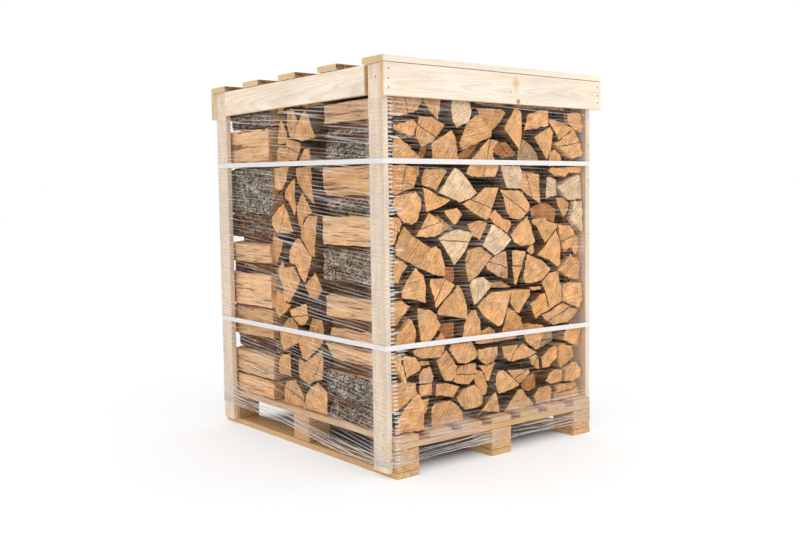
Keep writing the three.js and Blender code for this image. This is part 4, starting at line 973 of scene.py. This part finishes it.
def carry_coordinates(bm, tone, centre, pith):
    tilt = chance.gauss(SAW_TILT, SAW_TILT_SPREAD)
    marks = Vector((math.cos(tilt), math.sin(tilt)))
    crack_angle = chance.uniform(0, math.pi)
    crack_across = Vector((math.cos(crack_angle), math.sin(crack_angle)))
    cracked = chance.random() < CRACKED_SHARE
    offset = chance.uniform(0, 60)
    warmth = max(chance.gauss(0, 1), COOLEST)
    lift = min(chance.gauss(1, LIFT_SPREAD), LIGHTEST)
    red, green, blue = TONES[tone]
    green *= 1 - GREEN_WARMTH * warmth
    blue *= 1 - BLUE_WARMTH * warmth
    tint = (red * lift, green * lift, blue * lift, 1.0)
    pith_layer = bm.verts.layers.float_vector.new("pith")
    saw_layer = bm.verts.layers.float_vector.new("saw")
    wood_layer = bm.verts.layers.float_color.new("wood")
    for vert in bm.verts:
        flat = vert.co.xy
        vert[pith_layer] = (flat.x - pith.x, flat.y - pith.y, vert.co.z + offset)
        from_centre = flat - centre
        off_crack = from_centre.dot(crack_across) if cracked else NO_CRACK
        vert[saw_layer] = (from_centre.dot(marks) + offset, from_centre.cross(marks) + offset, off_crack)
        vert[wood_layer] = tint


print("tones of wood:", ", ".join(TONES))

# %% [markdown]
# The heart of the trunk lies near the sharpest corner of a wedge. So that corner sets where the rings
# are centred, and what is furthest from it may be bark. With that, one log can be made from its drawing.

# %% One whole log
PITH_PLACE = (1.0, 1.7)
BARK_SHARE = 0.35


def split_log(log, length, whole, outward=None):
    """A log with its sawn end at 0 and its length along Z, as a mesh with its coordinates on it."""
    bm = log_mesh(log["outline"], length, whole)
    corners = [Vector(corner) for corner in log["outline"]]
    centre = sum(corners, Vector((0, 0))) / len(corners)
    tear_sides(bm, log["side"] in BARKED, whole)
    finish_end(bm, centre)
    sharp = max(corners, key=lambda corner: (corner - centre).length)
    pith = centre + (sharp - centre) * chance.uniform(*PITH_PLACE)
    reach = max((corner - pith).length for corner in corners)
    has_bark = chance.random() < BARK_SHARE
    for face in bm.faces:
        face.normal_update()
        face.material_index = skin_of(log, face, outward, pith, reach, has_bark)
    carry_coordinates(bm, log["tone"], centre, pith)
    return bm


print(f"logs with bark inside the stack: {BARK_SHARE:.0%}")

# %% [markdown]
# ## Three rows of logs
# Hundreds of objects would be slow to handle, and the model has one solid for each row, so a row is one
# mesh of all its logs. The front row shows its sawn ends to the front, and the back row shows the same
# ends to the back, the other way round. In the middle row the logs lie across the pallet, one behind
# the other, and show their ends on both sides.
# Between drawn logs one could see right through the stack. Real logs are too crooked for that, so plain
# dark ones, the deep logs, stand a little further in and close those sight lines. Their dark is painted
# shade: they take the rust tone and the nearly black inner finish all over.

# %% Laying a row
FRONT_ROW = (0.026, 0.430)
MIDDLE_ROW_SIDE = 0.008
MIDDLE_HALF_GAP = 0.006
MIDDLE_TOP = 1.345
BACK_ROW = (0.842, 1.174)
BACK_STACK_EDGE = 0.888
BACK_STACK_REST = 0.03
BACK_LEFT_EXTRA = 0.030
LEFTWARD, RIGHTWARD = -X, X
UPWARD = Y


class Row:
    def __init__(self):
        self.bm = bmesh.new()
        self.count = 0

    def lay(self, log, length, placing, whole=False, outward=None):
        """Adds one log. placing turns the log's own axes into the load's."""
        shaped = split_log(log, length, whole, outward)
        shaped.transform(placing)
        if placing.determinant() < 0:
            bmesh.ops.reverse_faces(shaped, faces=shaped.faces)
        one = bpy.data.meshes.new("one_log")
        shaped.to_mesh(one)
        shaped.free()
        self.bm.from_mesh(one)
        bpy.data.meshes.remove(one)
        self.count += 1

    def close(self, name, node):
        row = piece(name, self.bm, LOG_FINISHES, "firewood", node)
        faces = sum(len(polygon.vertices) - 2 for polygon in row.data.polygons)
        print(f"{name}: {self.count} logs, {faces} triangles")


print("depth of the front row:", FRONT_ROW, "and of the back row:", BACK_ROW)

# %% Deep logs
DEEP_SIDES = ((0.040, 0.165), (0.165, 0.295), (0.705, 0.835), (0.835, 0.960))
DEEP_MIDDLE = ((0.432, 0.565), (0.565, 0.705), (0.705, 0.842))
DEEP_LOW, DEEP_HIGH, DEEP_SETBACK = 0.150, 1.330, 70 * MM
EDGE_BANDS, EDGE_SETBACK = ((0.055, 0.085), (0.905, 0.950)), 25 * MM
PLUG_BAND, PLUG_SETBACK = (0.915, 0.962), 9 * MM
BACK_LEFT_PLUGS = ((0.50, 0.72), (0.86, 1.00))
DEEP_THICKNESS, DEEP_SKEW, DEEP_DIP = (0.085, 0.135), 0.16, 0.012
LEAST_THICKNESS, SETBACK_SPREAD = 0.05, (0.8, 1.3)


def deep_logs(bands, low=DEEP_LOW, high=DEEP_HIGH, setback=DEEP_SETBACK):
    """Plain logs stacked in upright bands, further into a row than the drawn ones."""
    logs = []
    for left, right in bands:
        bottom = low
        while bottom < high - LEAST_THICKNESS:
            top = min(bottom + chance.uniform(*DEEP_THICKNESS), high)
            skew = chance.uniform(-DEEP_SKEW, DEEP_SKEW) * (right - left)
            dip = ((left + right) / 2 + skew, bottom - DEEP_DIP)
            outline = [(left, bottom), dip, (right, bottom), (right, top), (left, top - skew)]
            inward = chance.uniform(*SETBACK_SPREAD) * setback
            # Deep logs: rust tone and, through their skin, the nearly black inner finish, which is painted
            # shade.
            logs.append({"tone": "rust", "side": "deep", "setback": inward, "outline": outline})
            bottom = top
    return logs


print("bands of deep logs:", len(DEEP_SIDES) + len(DEEP_MIDDLE) + len(EDGE_BANDS) + 1)

# %% Front row
front_row = Row()
for group, whole, outward in (
    (left_logs, True, LEFTWARD),
    (right_logs, True, RIGHTWARD),
    (inner_logs, False, None),
    (top_logs, True, UPWARD),
    (deep_logs(DEEP_SIDES), False, None),
    (deep_logs(EDGE_BANDS, setback=EDGE_SETBACK), False, None),
):
    for log in group:
        start = FRONT_ROW[0] + log["setback"]
        front_row.lay(log, FRONT_ROW[1] - start, frame_of(at(0, start, 0), X, Z, Y), whole, outward)
front_row.close("front_row_logs", "firewood_front_row")

# %% [markdown]
# The back row's left side shows logs of its own, which run further in. The rest is the front row the
# other way round, and its logs end where those begin. Two plugs of deep logs close the gap between.

# %% Back row
LEAST_EDGE = 3 * MM


def narrowed(outline, limit):
    """The outline with what lies beyond the limit pressed back to it."""
    kept = []
    for x, z in outline:
        corner = (min(x, limit), z)
        if not kept or math.dist(kept[-1], corner) > LEAST_EDGE:
            kept.append(corner)
    return kept


back_row = Row()
for log in back_left_logs:
    end = BACK_ROW[1] - log["setback"]
    length = end - BACK_ROW[0] + BACK_LEFT_EXTRA
    back_row.lay(log, length, frame_of(at(0, end, 0), X, Z, -Y), True, LEFTWARD)
back_deep = deep_logs(DEEP_SIDES) + deep_logs(EDGE_BANDS[:1], setback=EDGE_SETBACK)
for low, high in BACK_LEFT_PLUGS:
    back_deep += deep_logs((PLUG_BAND,), low, high, PLUG_SETBACK)
mirrored = [(log, False, None) for log in back_deep]
groups = ((left_logs, True, LEFTWARD), (inner_logs, False, None), (top_logs, True, UPWARD))
for group, whole, outward in groups:
    for log in group:
        if min(x for x, _ in log["outline"]) <= BACK_STACK_EDGE - BACK_STACK_REST:
            log = {**log, "outline": narrowed(log["outline"], BACK_STACK_EDGE)}
            mirrored.append((log, whole, outward))
for log, whole, outward in mirrored:
    end = BACK_ROW[1] - log["setback"]
    back_row.lay(log, end - BACK_ROW[0], frame_of(at(WIDTH, end, 0), -X, Z, -Y), whole, outward)
back_row.close("back_row_logs", "firewood_back_row")

# %% Middle row
middle_row = Row()
half = WIDTH / 2 - MIDDLE_HALF_GAP
for log in middle_logs:
    start = MIDDLE_ROW_SIDE + log["setback"]
    on_top = max(z for _, z in log["outline"]) > MIDDLE_TOP
    outward = UPWARD if on_top else None
    for side, inward in ((start, X), (WIDTH - start, -X)):
        middle_row.lay(log, half - start, frame_of(at(side, 0, 0), Y, Z, inward), on_top, outward)
for log in deep_logs(DEEP_MIDDLE):
    start = MIDDLE_ROW_SIDE + log["setback"]
    middle_row.lay(log, WIDTH - 2 * start, frame_of(at(start, 0, 0), Y, Z, X))
middle_row.close("middle_row_logs", "firewood_middle_row")

# %% [markdown]
# ## Stretch film: what one sees of it
# The film is clear plastic, pulled tight. What one sees are milky streaks that run with the pull, and
# small bright glints, which are painted highlights here: white alpha near the front left post. A mask
# painted on an image could hold them, but it would have to be fitted round every corner, so the finish
# reads three vectors of the mesh. "wrap" is the way round, the height corrected for the pull and the
# height above the lower edge. "pull" says how near the front left post is, where the glints are painted,
# how strong the streaks are and how high a slanted line lies. "zone" says what is on a post, near the
# top and over the deck. Sums of waves and stretched noise make an alpha, and milky white shows where it
# is high. Where it is low the film is brownish, a painted reflection of the logs behind it.

# %% Film finish
STREAK_STEP, POST_STREAK_STEP = 13.5 * MM, 8.5 * MM
STREAK_BEAT, POST_BEAT, POST_SLANT = 0.034, 0.03, 0.75
CLEAR, PATCH_HAZE, HEM_HAZE, TOP_HAZE, DECK_HAZE = 0.003, 0.008, 0.015, 0.05, 0.26
STREAK, THIN, SLANTED = 0.40, 0.16, 0.26
PAINTED_GLINT_COMB, PAINTED_GLINT_FLASH, POST_LINES, DENSEST = 0.60, 0.58, 0.30, 0.88
# Thin film is tinted brown, a painted reflection of the wood behind it. Dense film is milky white.
THIN_FILM_PAINTED_REFLECTION, DENSE_MILK = (0.75, 0.59, 0.48), (0.85, 0.825, 0.81)


def film_finish():
    look = Finish("clear stretch film")
    wrap = look.attribute("wrap")
    around, rise, hem = look.parts(wrap)
    glint_zone, strength, slant = look.parts(look.attribute("pull"))
    on_post, near_top, over_deck = look.parts(look.attribute("zone"))
    sagging = look.node("CombineXYZ", inputs={0: around, 1: slant})
    patches = look.noise(wrap, (3.5, 5, 0)).step(0.34, 0.66)
    beat = look.noise(wrap, (1.2, 8, 0), 1)
    wave = (rise + beat * STREAK_BEAT).wave(STREAK_STEP)
    streak = wave.step(0.35, 0.95) * look.noise(wrap, (2.6, 62, 0)).step(0.38, 0.60)
    thin = look.noise(wrap, (2.6, 150, 0), 1, 0.5).step(0.56, 0.68)
    slanted = look.noise(sagging, (1.4, 52, 0), 1, 0.5).step(0.61, 0.69)
    # Painted highlights: the streak waves turned bright white right by the front left post, and short white
    # flashes further along.
    glint_comb = wave.step(0.0, 0.6) * glint_zone.step(0.80, 0.92)
    glint_flash = look.noise(wrap, (9, 105, 0), 2, 0.6).step(0.58, 0.64) * glint_zone.step(0.02, 0.75)
    diagonal = (around * POST_SLANT + rise + beat * POST_BEAT).wave(POST_STREAK_STEP)
    near_hem = 1 - hem.step(0.015, 0.11)
    haze = CLEAR + PATCH_HAZE * patches + HEM_HAZE * near_hem + TOP_HAZE * near_top
    haze = haze + DECK_HAZE * over_deck * patches
    streaks = STREAK * streak + THIN * thin + SLANTED * slanted
    lively = 0.5 + 0.9 * patches
    alpha = haze + streaks * (strength * lively + strength * near_hem + 0.6 * near_top + 0.45 * over_deck)
    alpha = alpha + PAINTED_GLINT_COMB * glint_comb + PAINTED_GLINT_FLASH * glint_flash + on_post * diagonal.step(0.2, 0.9) * POST_LINES
    alpha = alpha.math("MINIMUM", DENSEST)
    height = streak + 0.6 * thin + 0.8 * slanted + glint_flash
    # From the brown painted reflection where the film is thin to milky white where it is dense.
    body = look.blend(alpha.step(0.05, 0.42), THIN_FILM_PAINTED_REFLECTION, DENSE_MILK)
    return look.close(body, height, 1.6 * MM, alpha, 0.2, 0.55)


def gathered_finish():
    look = Finish("gathered film strands")
    here = look.node("TexCoord", output="Object")
    folds = look.noise(here, (40, 40, 320))
    alpha = 0.22 + 0.55 * look.noise(here, (7, 7, 20)).step(0.35, 0.65)
    return look.close(look.shade((0.76, 0.74, 0.73), 1 + folds.swing(0.8)), folds, MM, alpha, 0.3)


FILM = film_finish()
GATHERED = gathered_finish()
print("nodes in the film finish:", len(FILM.node_tree.nodes))

# %% [markdown]
# ## Stretch film: the sheet
# Closed walls would double the film's haze, so it is a single surface. Cloth simulation could wrap it
# round the load, but the outline is known: it is drawn once round the posts, and then extruded upwards
# in narrow steps, from a lower edge that goes up and down to a level top. Between the posts the sheet
# leans out below, over the edge of the deck.

# %% Film outline
film_low, film_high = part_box("stretch_film")
FILM_TOP = film_high.z
SHEET_ROWS, SHEET_STEP = 56, 0.022
POST_SETBACK = 0.022
film_left, film_right = film_low.x - CORNER.x, film_high.x - CORNER.x
film_front = POST_SETBACK - 0.6 * MM
film_back = DEPTH - film_front
FILM_STOPS = (
    (film_left, film_front, 40), (0.0, film_front, 45), (WIDTH * 0.4, film_front, 60),
    (WIDTH * 0.7, film_front, 53), (WIDTH, film_front, 46), (film_right, film_front, 62),
    (film_right, DEPTH * 0.55, 84), (film_right, film_back, 60), (WIDTH, film_back, 52),
    (WIDTH / 2, film_back, 66), (0.0, film_back, 74), (film_left, film_back, 96),
    (film_left, DEPTH * 0.54, 74), (film_left, DEPTH * 0.25, 40),
)


def film_columns():
    """Where each upright line of the sheet starts: x, y, height of the lower edge, way round."""
    columns = []
    around = 0.0
    for (x0, y0, mm0), (x1, y1, mm1) in zip(FILM_STOPS, FILM_STOPS[1:] + FILM_STOPS[:1]):
        edge0, edge1 = mm0 * MM, mm1 * MM
        length = math.hypot(x1 - x0, y1 - y0)
        steps = max(1, round(length / SHEET_STEP))
        for k in range(steps):
            share = k / steps
            edge = edge0 + (edge1 - edge0) * share
            columns.append((x0 + (x1 - x0) * share, y0 + (y1 - y0) * share, edge, around + length * share))
        around += length
    return columns


columns = film_columns()
print("upright lines of the sheet:", len(columns))

# %% Film sheet
OVER_DECK, TIGHT_FROM = DECK_TOP + 0.010, 0.428
POST_REACH, GLINT_REACH = 0.115, 0.11
TOP_BUNCH = 0.055
DECK_BAND, DECK_BAND_HALF = 0.150, 0.055
PULLS = {  # what the wrap rises by along the front and into the depth, strength and slant of streaks
    "front": (-0.018, 0.0, 0.42, 0.10),
    "left": (0.0, 0.092, 0.85, 0.15),
    "other": (0.03, 0.03, 0.5, 0.10),
}


def closed_loop(bm, verts):
    return [bm.edges.new((verts[i], verts[(i + 1) % len(verts)])) for i in range(len(verts))]


def between_posts(x):
    return -TINY <= x <= WIDTH + TINY


def fade(distance, reach):
    """1 at no distance and 0 from the reach on."""
    return max(0.0, 1 - distance / reach)


def hang(vert, column, wrap, pull, zone):
    """Leans the sheet out over the deck and writes the coordinates that its finish reads."""
    x, y, edge, around = column
    z = vert.co.z
    between = between_posts(x)
    on_front = between and abs(y - film_front) < TINY
    on_left = abs(x - film_left) < TINY
    lean = 1 - min(max((z - OVER_DECK) / (TIGHT_FROM - OVER_DECK), 0), 1)
    if on_front:
        vert.co.y -= POST_SETBACK * lean
    elif between and abs(y - film_back) < TINY:
        vert.co.y += POST_SETBACK * lean
    rise_along, rise_deep, strength, slant = PULLS["front" if on_front else "left" if on_left else "other"]
    on_post = not between and (y < POST_REACH or y > DEPTH - POST_REACH)
    over_deck = on_front and x > POST_REACH
    vert[wrap] = (around, z - rise_along * x - rise_deep * y, z - edge)
    # The first number of pull fades out from the front left post. It says where the glints are painted.
    vert[pull] = (fade(x, GLINT_REACH) if on_front else 0.0, strength, z + slant * around)
    deck_haze = fade(abs(z - DECK_BAND), DECK_BAND_HALF) if over_deck else 0.0
    vert[zone] = (float(on_post), fade(FILM_TOP - z, TOP_BUNCH), deck_haze)


def film_sheet(columns):
    bm = bmesh.new()
    column = bm.verts.layers.int.new("column")
    carried = [bm.verts.layers.float_vector.new(name) for name in ("wrap", "pull", "zone")]
    verts = [bm.verts.new(at(x, y, edge)) for x, y, edge, _ in columns]
    for i, vert in enumerate(verts):
        vert[column] = i
    edges = closed_loop(bm, verts)
    for row in range(1, SHEET_ROWS + 1):
        made = bmesh.ops.extrude_edge_only(bm, edges=edges)["geom"]
        edges = of_kind(made, bmesh.types.BMEdge)
        for vert in of_kind(made, bmesh.types.BMVert):
            edge = columns[vert[column]][2]
            vert.co.z = edge + (FILM_TOP - edge) * row / SHEET_ROWS
    for vert in bm.verts:
        hang(vert, columns[vert[column]], *carried)
    bm.verts.layers.int.remove(column)
    return bm


film_bm = film_sheet(columns)
print("faces of the sheet:", len(film_bm.faces))

# %% [markdown]
# Along its lower edge the film is gathered into loose strands. A curve with a bevel would be the usual
# way to make a rope, but it would have to become a mesh before it could join the sheet. So rings of six
# corners are set along a path that follows the lower edge and sways a little, and joined by faces.

# %% Gathered strands
STRAND_SIDES = 6
STRAND_RADIUS = 1.7 * MM
STRAND_LIFTS = (0.001, 0.007, 0.019, 0.034)
STRAND_SEED = 7.3
SLOW_SWAY, QUICK_SWAY = 10 * MM, 2.5 * MM
SLOW_PACE, QUICK_PACE = 3.1, 14


def strand(bm, path):
    """A thin closed rope of gathered film."""
    rings = []
    for i, point in enumerate(path):
        way = (path[(i + 1) % len(path)] - path[i - 1]).normalized()
        side = way.cross(Z).normalized()
        upward = side.cross(way)
        turns = [TURN * k / STRAND_SIDES for k in range(STRAND_SIDES)]
        offsets = [STRAND_RADIUS * (math.cos(turn) * side + math.sin(turn) * upward) for turn in turns]
        rings.append([bm.verts.new(point + offset) for offset in offsets])
    for before, ring in zip(rings[-1:] + rings[:-1], rings):
        for k in range(STRAND_SIDES):
            following = (k + 1) % STRAND_SIDES
            face = bm.faces.new((before[k], before[following], ring[following], ring[k]))
            face.material_index = 1


def strand_path(columns, lift, seed):
    """Follows the lower edge, a little above it, and sags between the corners."""
    path = []
    for x, y, edge, around in columns:
        out = POST_SETBACK - STRAND_RADIUS if between_posts(x) else 0.0
        y += -out if y < DEPTH / 2 else out
        slow = noise.noise(Vector((around * SLOW_PACE, seed, 0))) * SLOW_SWAY
        quick = noise.noise(Vector((around * QUICK_PACE, seed, 5))) * QUICK_SWAY
        path.append(at(x, y, edge + lift + slow + quick))
    return path


for i, lift in enumerate(STRAND_LIFTS):
    strand(film_bm, strand_path(columns, lift, i * STRAND_SEED))
bmesh.ops.recalc_face_normals(film_bm, faces=film_bm.faces)
film = piece("stretch_film_wrap", film_bm, (FILM, GATHERED), "film_plastic", "stretch_film")
for polygon in film.data.polygons:
    polygon.use_smooth = True
print("film faces:", len(film.data.polygons))

# %% [markdown]
# ## Straps
# Each strap is a flat band of woven plastic, drawn tight round the four posts over the film. A scaled
# box with a hole would have sharp corners and no weave. So the outline gets rounded corners, one extrude
# gives it its width, and solidify its thickness.

# %% Strap finish
RIB_STEP, WEAVE_STEP = 4.5 * MM, 4.0 * MM


def strap_finish():
    look = Finish("white woven strap")
    band = look.attribute("band")
    along, across, _ = look.parts(band)
    ribs, weave = across.wave(RIB_STEP), along.wave(WEAVE_STEP)
    wear = look.noise(band, (25, 160, 0), 3)
    body = look.shade((0.80, 0.775, 0.75), 1 + 0.04 * ribs + wear.swing(0.30))
    return look.close(body, ribs * 0.6 + weave * 0.4, 0.5 * MM, rough=0.42)


STRAP = strap_finish()
print("nodes in the strap finish:", len(STRAP.node_tree.nodes))

# %% Strap bands
STRAP_WIDTH, STRAP_THICKNESS = 18 * MM, 0.8 * MM
STRAP_BEND, BEND_STEPS = 3.5 * MM, 4
SIDE_FROM, SIDE_CUTS = 0.1, 40
STRAP_HEIGHTS = {"strap_upper": (1.085, 1.085, 1.095, 1.105), "strap_lower": (0.452, 0.437, 0.448, 0.455)}


def strap_stops(low, high, heights):
    """The strap's middle line: every corner of the box as a quarter turn, at its own height."""
    stops = []
    corners = ((low.x, low.y), (high.x, low.y), (high.x, high.y), (low.x, high.y))
    for i, ((x, y), height) in enumerate(zip(corners, heights)):
        centre = Vector((x - math.copysign(STRAP_BEND, x), y - math.copysign(STRAP_BEND, y), height))
        for k in range(BEND_STEPS + 1):
            turn = math.radians(180 + 90 * i + 90 * k / BEND_STEPS)
            stops.append(centre + STRAP_BEND * Vector((math.cos(turn), math.sin(turn), 0)))
    return stops


def strap_band(node, heights):
    bm = bmesh.new()
    band = bm.verts.layers.float_vector.new("band")
    down = Vector((0, 0, STRAP_WIDTH / 2))
    edges = closed_loop(bm, [bm.verts.new(stop - down) for stop in strap_stops(*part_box(node), heights)])
    sides = [edge for edge in edges if edge.calc_length() > SIDE_FROM]
    bmesh.ops.subdivide_edges(bm, edges=sides, cuts=SIDE_CUTS)
    made = bmesh.ops.extrude_edge_only(bm, edges=bm.edges[:])["geom"]
    raised = set(of_kind(made, bmesh.types.BMVert))
    bmesh.ops.translate(bm, vec=(0, 0, STRAP_WIDTH), verts=list(raised))
    for vert in bm.verts:
        vert[band] = (vert.co.x + vert.co.y, STRAP_WIDTH if vert in raised else 0.0, 0.0)
    bmesh.ops.recalc_face_normals(bm, faces=bm.faces)
    outward = sum(face.normal.dot(Vector((*face.calc_center_median().xy, 0))) for face in bm.faces)
    if outward < 0:
        bmesh.ops.reverse_faces(bm, faces=bm.faces)
    bmesh.ops.solidify(bm, geom=bm.faces[:], thickness=STRAP_THICKNESS)
    piece(node + "_band", bm, (STRAP,), "strap_plastic", node)


for node, heights in STRAP_HEIGHTS.items():
    strap_band(node, heights)
print("straps:", len(STRAP_HEIGHTS))

# %% [markdown]
# ## Nails
# The nails are sunk flush, so only flat dark heads show. Dots in the boards' finish could stand for
# them, but a head has a rim that catches light. Each is a short cone with its tip cut off and its wide
# end outwards, and all of them are one mesh.

# %% Nail finish and heads
NAIL_RADIUS, NAIL_TAPER = 2.8 * MM, 0.8
NAIL_HEAD, NAIL_PROUD = 1.2 * MM, 0.3 * MM
APRON_NAIL_HEIGHTS = (0.027, 0.056, 0.088)
LEFT_INSET, RIGHT_INSET = 0.022, 0.020
SPARE_NAIL = Vector((0.59, 0.0, 0.044))
HEAD_NAIL = (0.45, 0.045)
FOOT_NAILS = ((0.30, 0.150), (0.34, 0.105), (0.70, 0.050))


def nail_finish():
    look = Finish("dark nail steel")
    rust = look.noise(look.node("TexCoord", output="Object"), (300, 300, 300))
    body = look.blend(rust.step(0.45, 0.65), (0.045, 0.04, 0.038), (0.12, 0.07, 0.045))
    return look.close(body, rust, 0.3 * MM, rough=0.5, Metallic=0.6)


apron_low, apron_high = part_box("lid_apron_front")
apron_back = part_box("lid_apron_back")[1].y
nails = []
for height in APRON_NAIL_HEIGHTS:
    for x in (apron_low.x + LEFT_INSET, apron_high.x - RIGHT_INSET):
        for y, out in ((apron_low.y, -Y), (apron_back, Y)):
            nails.append((Vector((x, y, apron_low.z + height)), out))
nails.append((apron_low + SPARE_NAIL, -Y))
for side, out in (("left", -X), ("right", X)):
    for row in ("front", "back"):
        low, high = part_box(f"post_{row}_{side}")
        face = low.x if side == "left" else high.x
        for share, height in ((HEAD_NAIL[0], high.z - HEAD_NAIL[1]), *FOOT_NAILS):
            nails.append((Vector((face, low.y + (high.y - low.y) * share, height)), out))

nail_bm = bmesh.new()
for place, out in nails:
    turn = Z.rotation_difference(out).to_matrix().to_4x4()
    bmesh.ops.create_cone(
        nail_bm,
        cap_ends=True,
        segments=12,
        radius1=NAIL_RADIUS * NAIL_TAPER,
        radius2=NAIL_RADIUS,
        depth=NAIL_HEAD,
        matrix=Matrix.Translation(place - out * (NAIL_HEAD / 2 - NAIL_PROUD)) @ turn,
    )
piece("nail_heads", nail_bm, (nail_finish(),), "spruce_timber")
print("nails:", len(nails))

# %% [markdown]
# ## Floor, light and background
# The load stands on a plain pale floor in soft, nearly shadowless light, against white. Lamps alone
# would cast hard shadows on it, so a bright world does most of the work, and large soft lamps from the
# front, the left and above give the faces their modelling. The floor glows a little to stay pale. Under
# the load the glow fades out and the floor is darker: a painted shadow.

# %% Floor
FLOOR_SIZE = 40.0
FLOOR_GLOW, FLOOR_TONE, FLOOR_COOL = 0.44, 0.53, 1.015
UNDER_LOAD, PAINTED_SHADOW_TONE = 0.16, 0.55


def floor_finish():
    look = Finish("pale studio floor")
    here = look.node("TexCoord", output="Object")
    x, y, _ = look.parts(here)
    cloud = look.noise(here, (0.6, 0.6, 0.6))
    # Under the load the glow fades out and the colour drops to the painted shadow tone.
    beside = (x.math("ABSOLUTE") - WIDTH / 2).step(-UNDER_LOAD, 0.0)
    before = (y.math("ABSOLUTE") - DEPTH / 2).step(-UNDER_LOAD, 0.0)
    clear = beside.math("MAXIMUM", before)
    tone = (0.99 + 0.02 * cloud) * (PAINTED_SHADOW_TONE + (1 - PAINTED_SHADOW_TONE) * clear)
    body = look.shade((FLOOR_TONE, FLOOR_TONE, FLOOR_TONE * FLOOR_COOL), tone)
    glow = look.shade((1, 1, 1), clear)
    return look.close(body, **{"Emission Color": glow, "Emission Strength": FLOOR_GLOW})


floor_bm = bmesh.new()
bmesh.ops.create_grid(floor_bm, x_segments=4, y_segments=4, size=FLOOR_SIZE)
floor = mesh_object("floor", floor_bm, (floor_finish(),))
print(f"floor: {2 * FLOOR_SIZE:.0f} m wide")

# %% Lights and world
LAMPS = {
    "front lamp": ((0.6, -4.6, 2.6), (0, 0, 0.7), 2.4, 42),
    "left lamp": ((-4.6, -0.8, 2.4), (0, 0, 0.7), 2.4, 12),
    "top lamp": ((0.0, 0.0, 4.6), (0, 0, 0.0), 3.0, 12),
}
world = bpy.data.worlds.new("white studio")
bpy.context.scene.world = world
world.use_nodes = True
background = world.node_tree.nodes["Background"]
background.inputs["Color"].default_value = (1.0, 1.0, 1.0, 1.0)
background.inputs["Strength"].default_value = 1.0
for name, (place, aim, size, watts) in LAMPS.items():
    data = bpy.data.lights.new(name, "AREA")
    data.size = size
    data.energy = watts
    lamp = put_in_scene(name, data)
    lamp.location = place
    lamp.rotation_euler = (Vector(aim) - Vector(place)).to_track_quat("-Z", "Y").to_euler()
bpy.context.scene.view_settings.view_transform = "Standard"
print("lamps:", len(LAMPS))
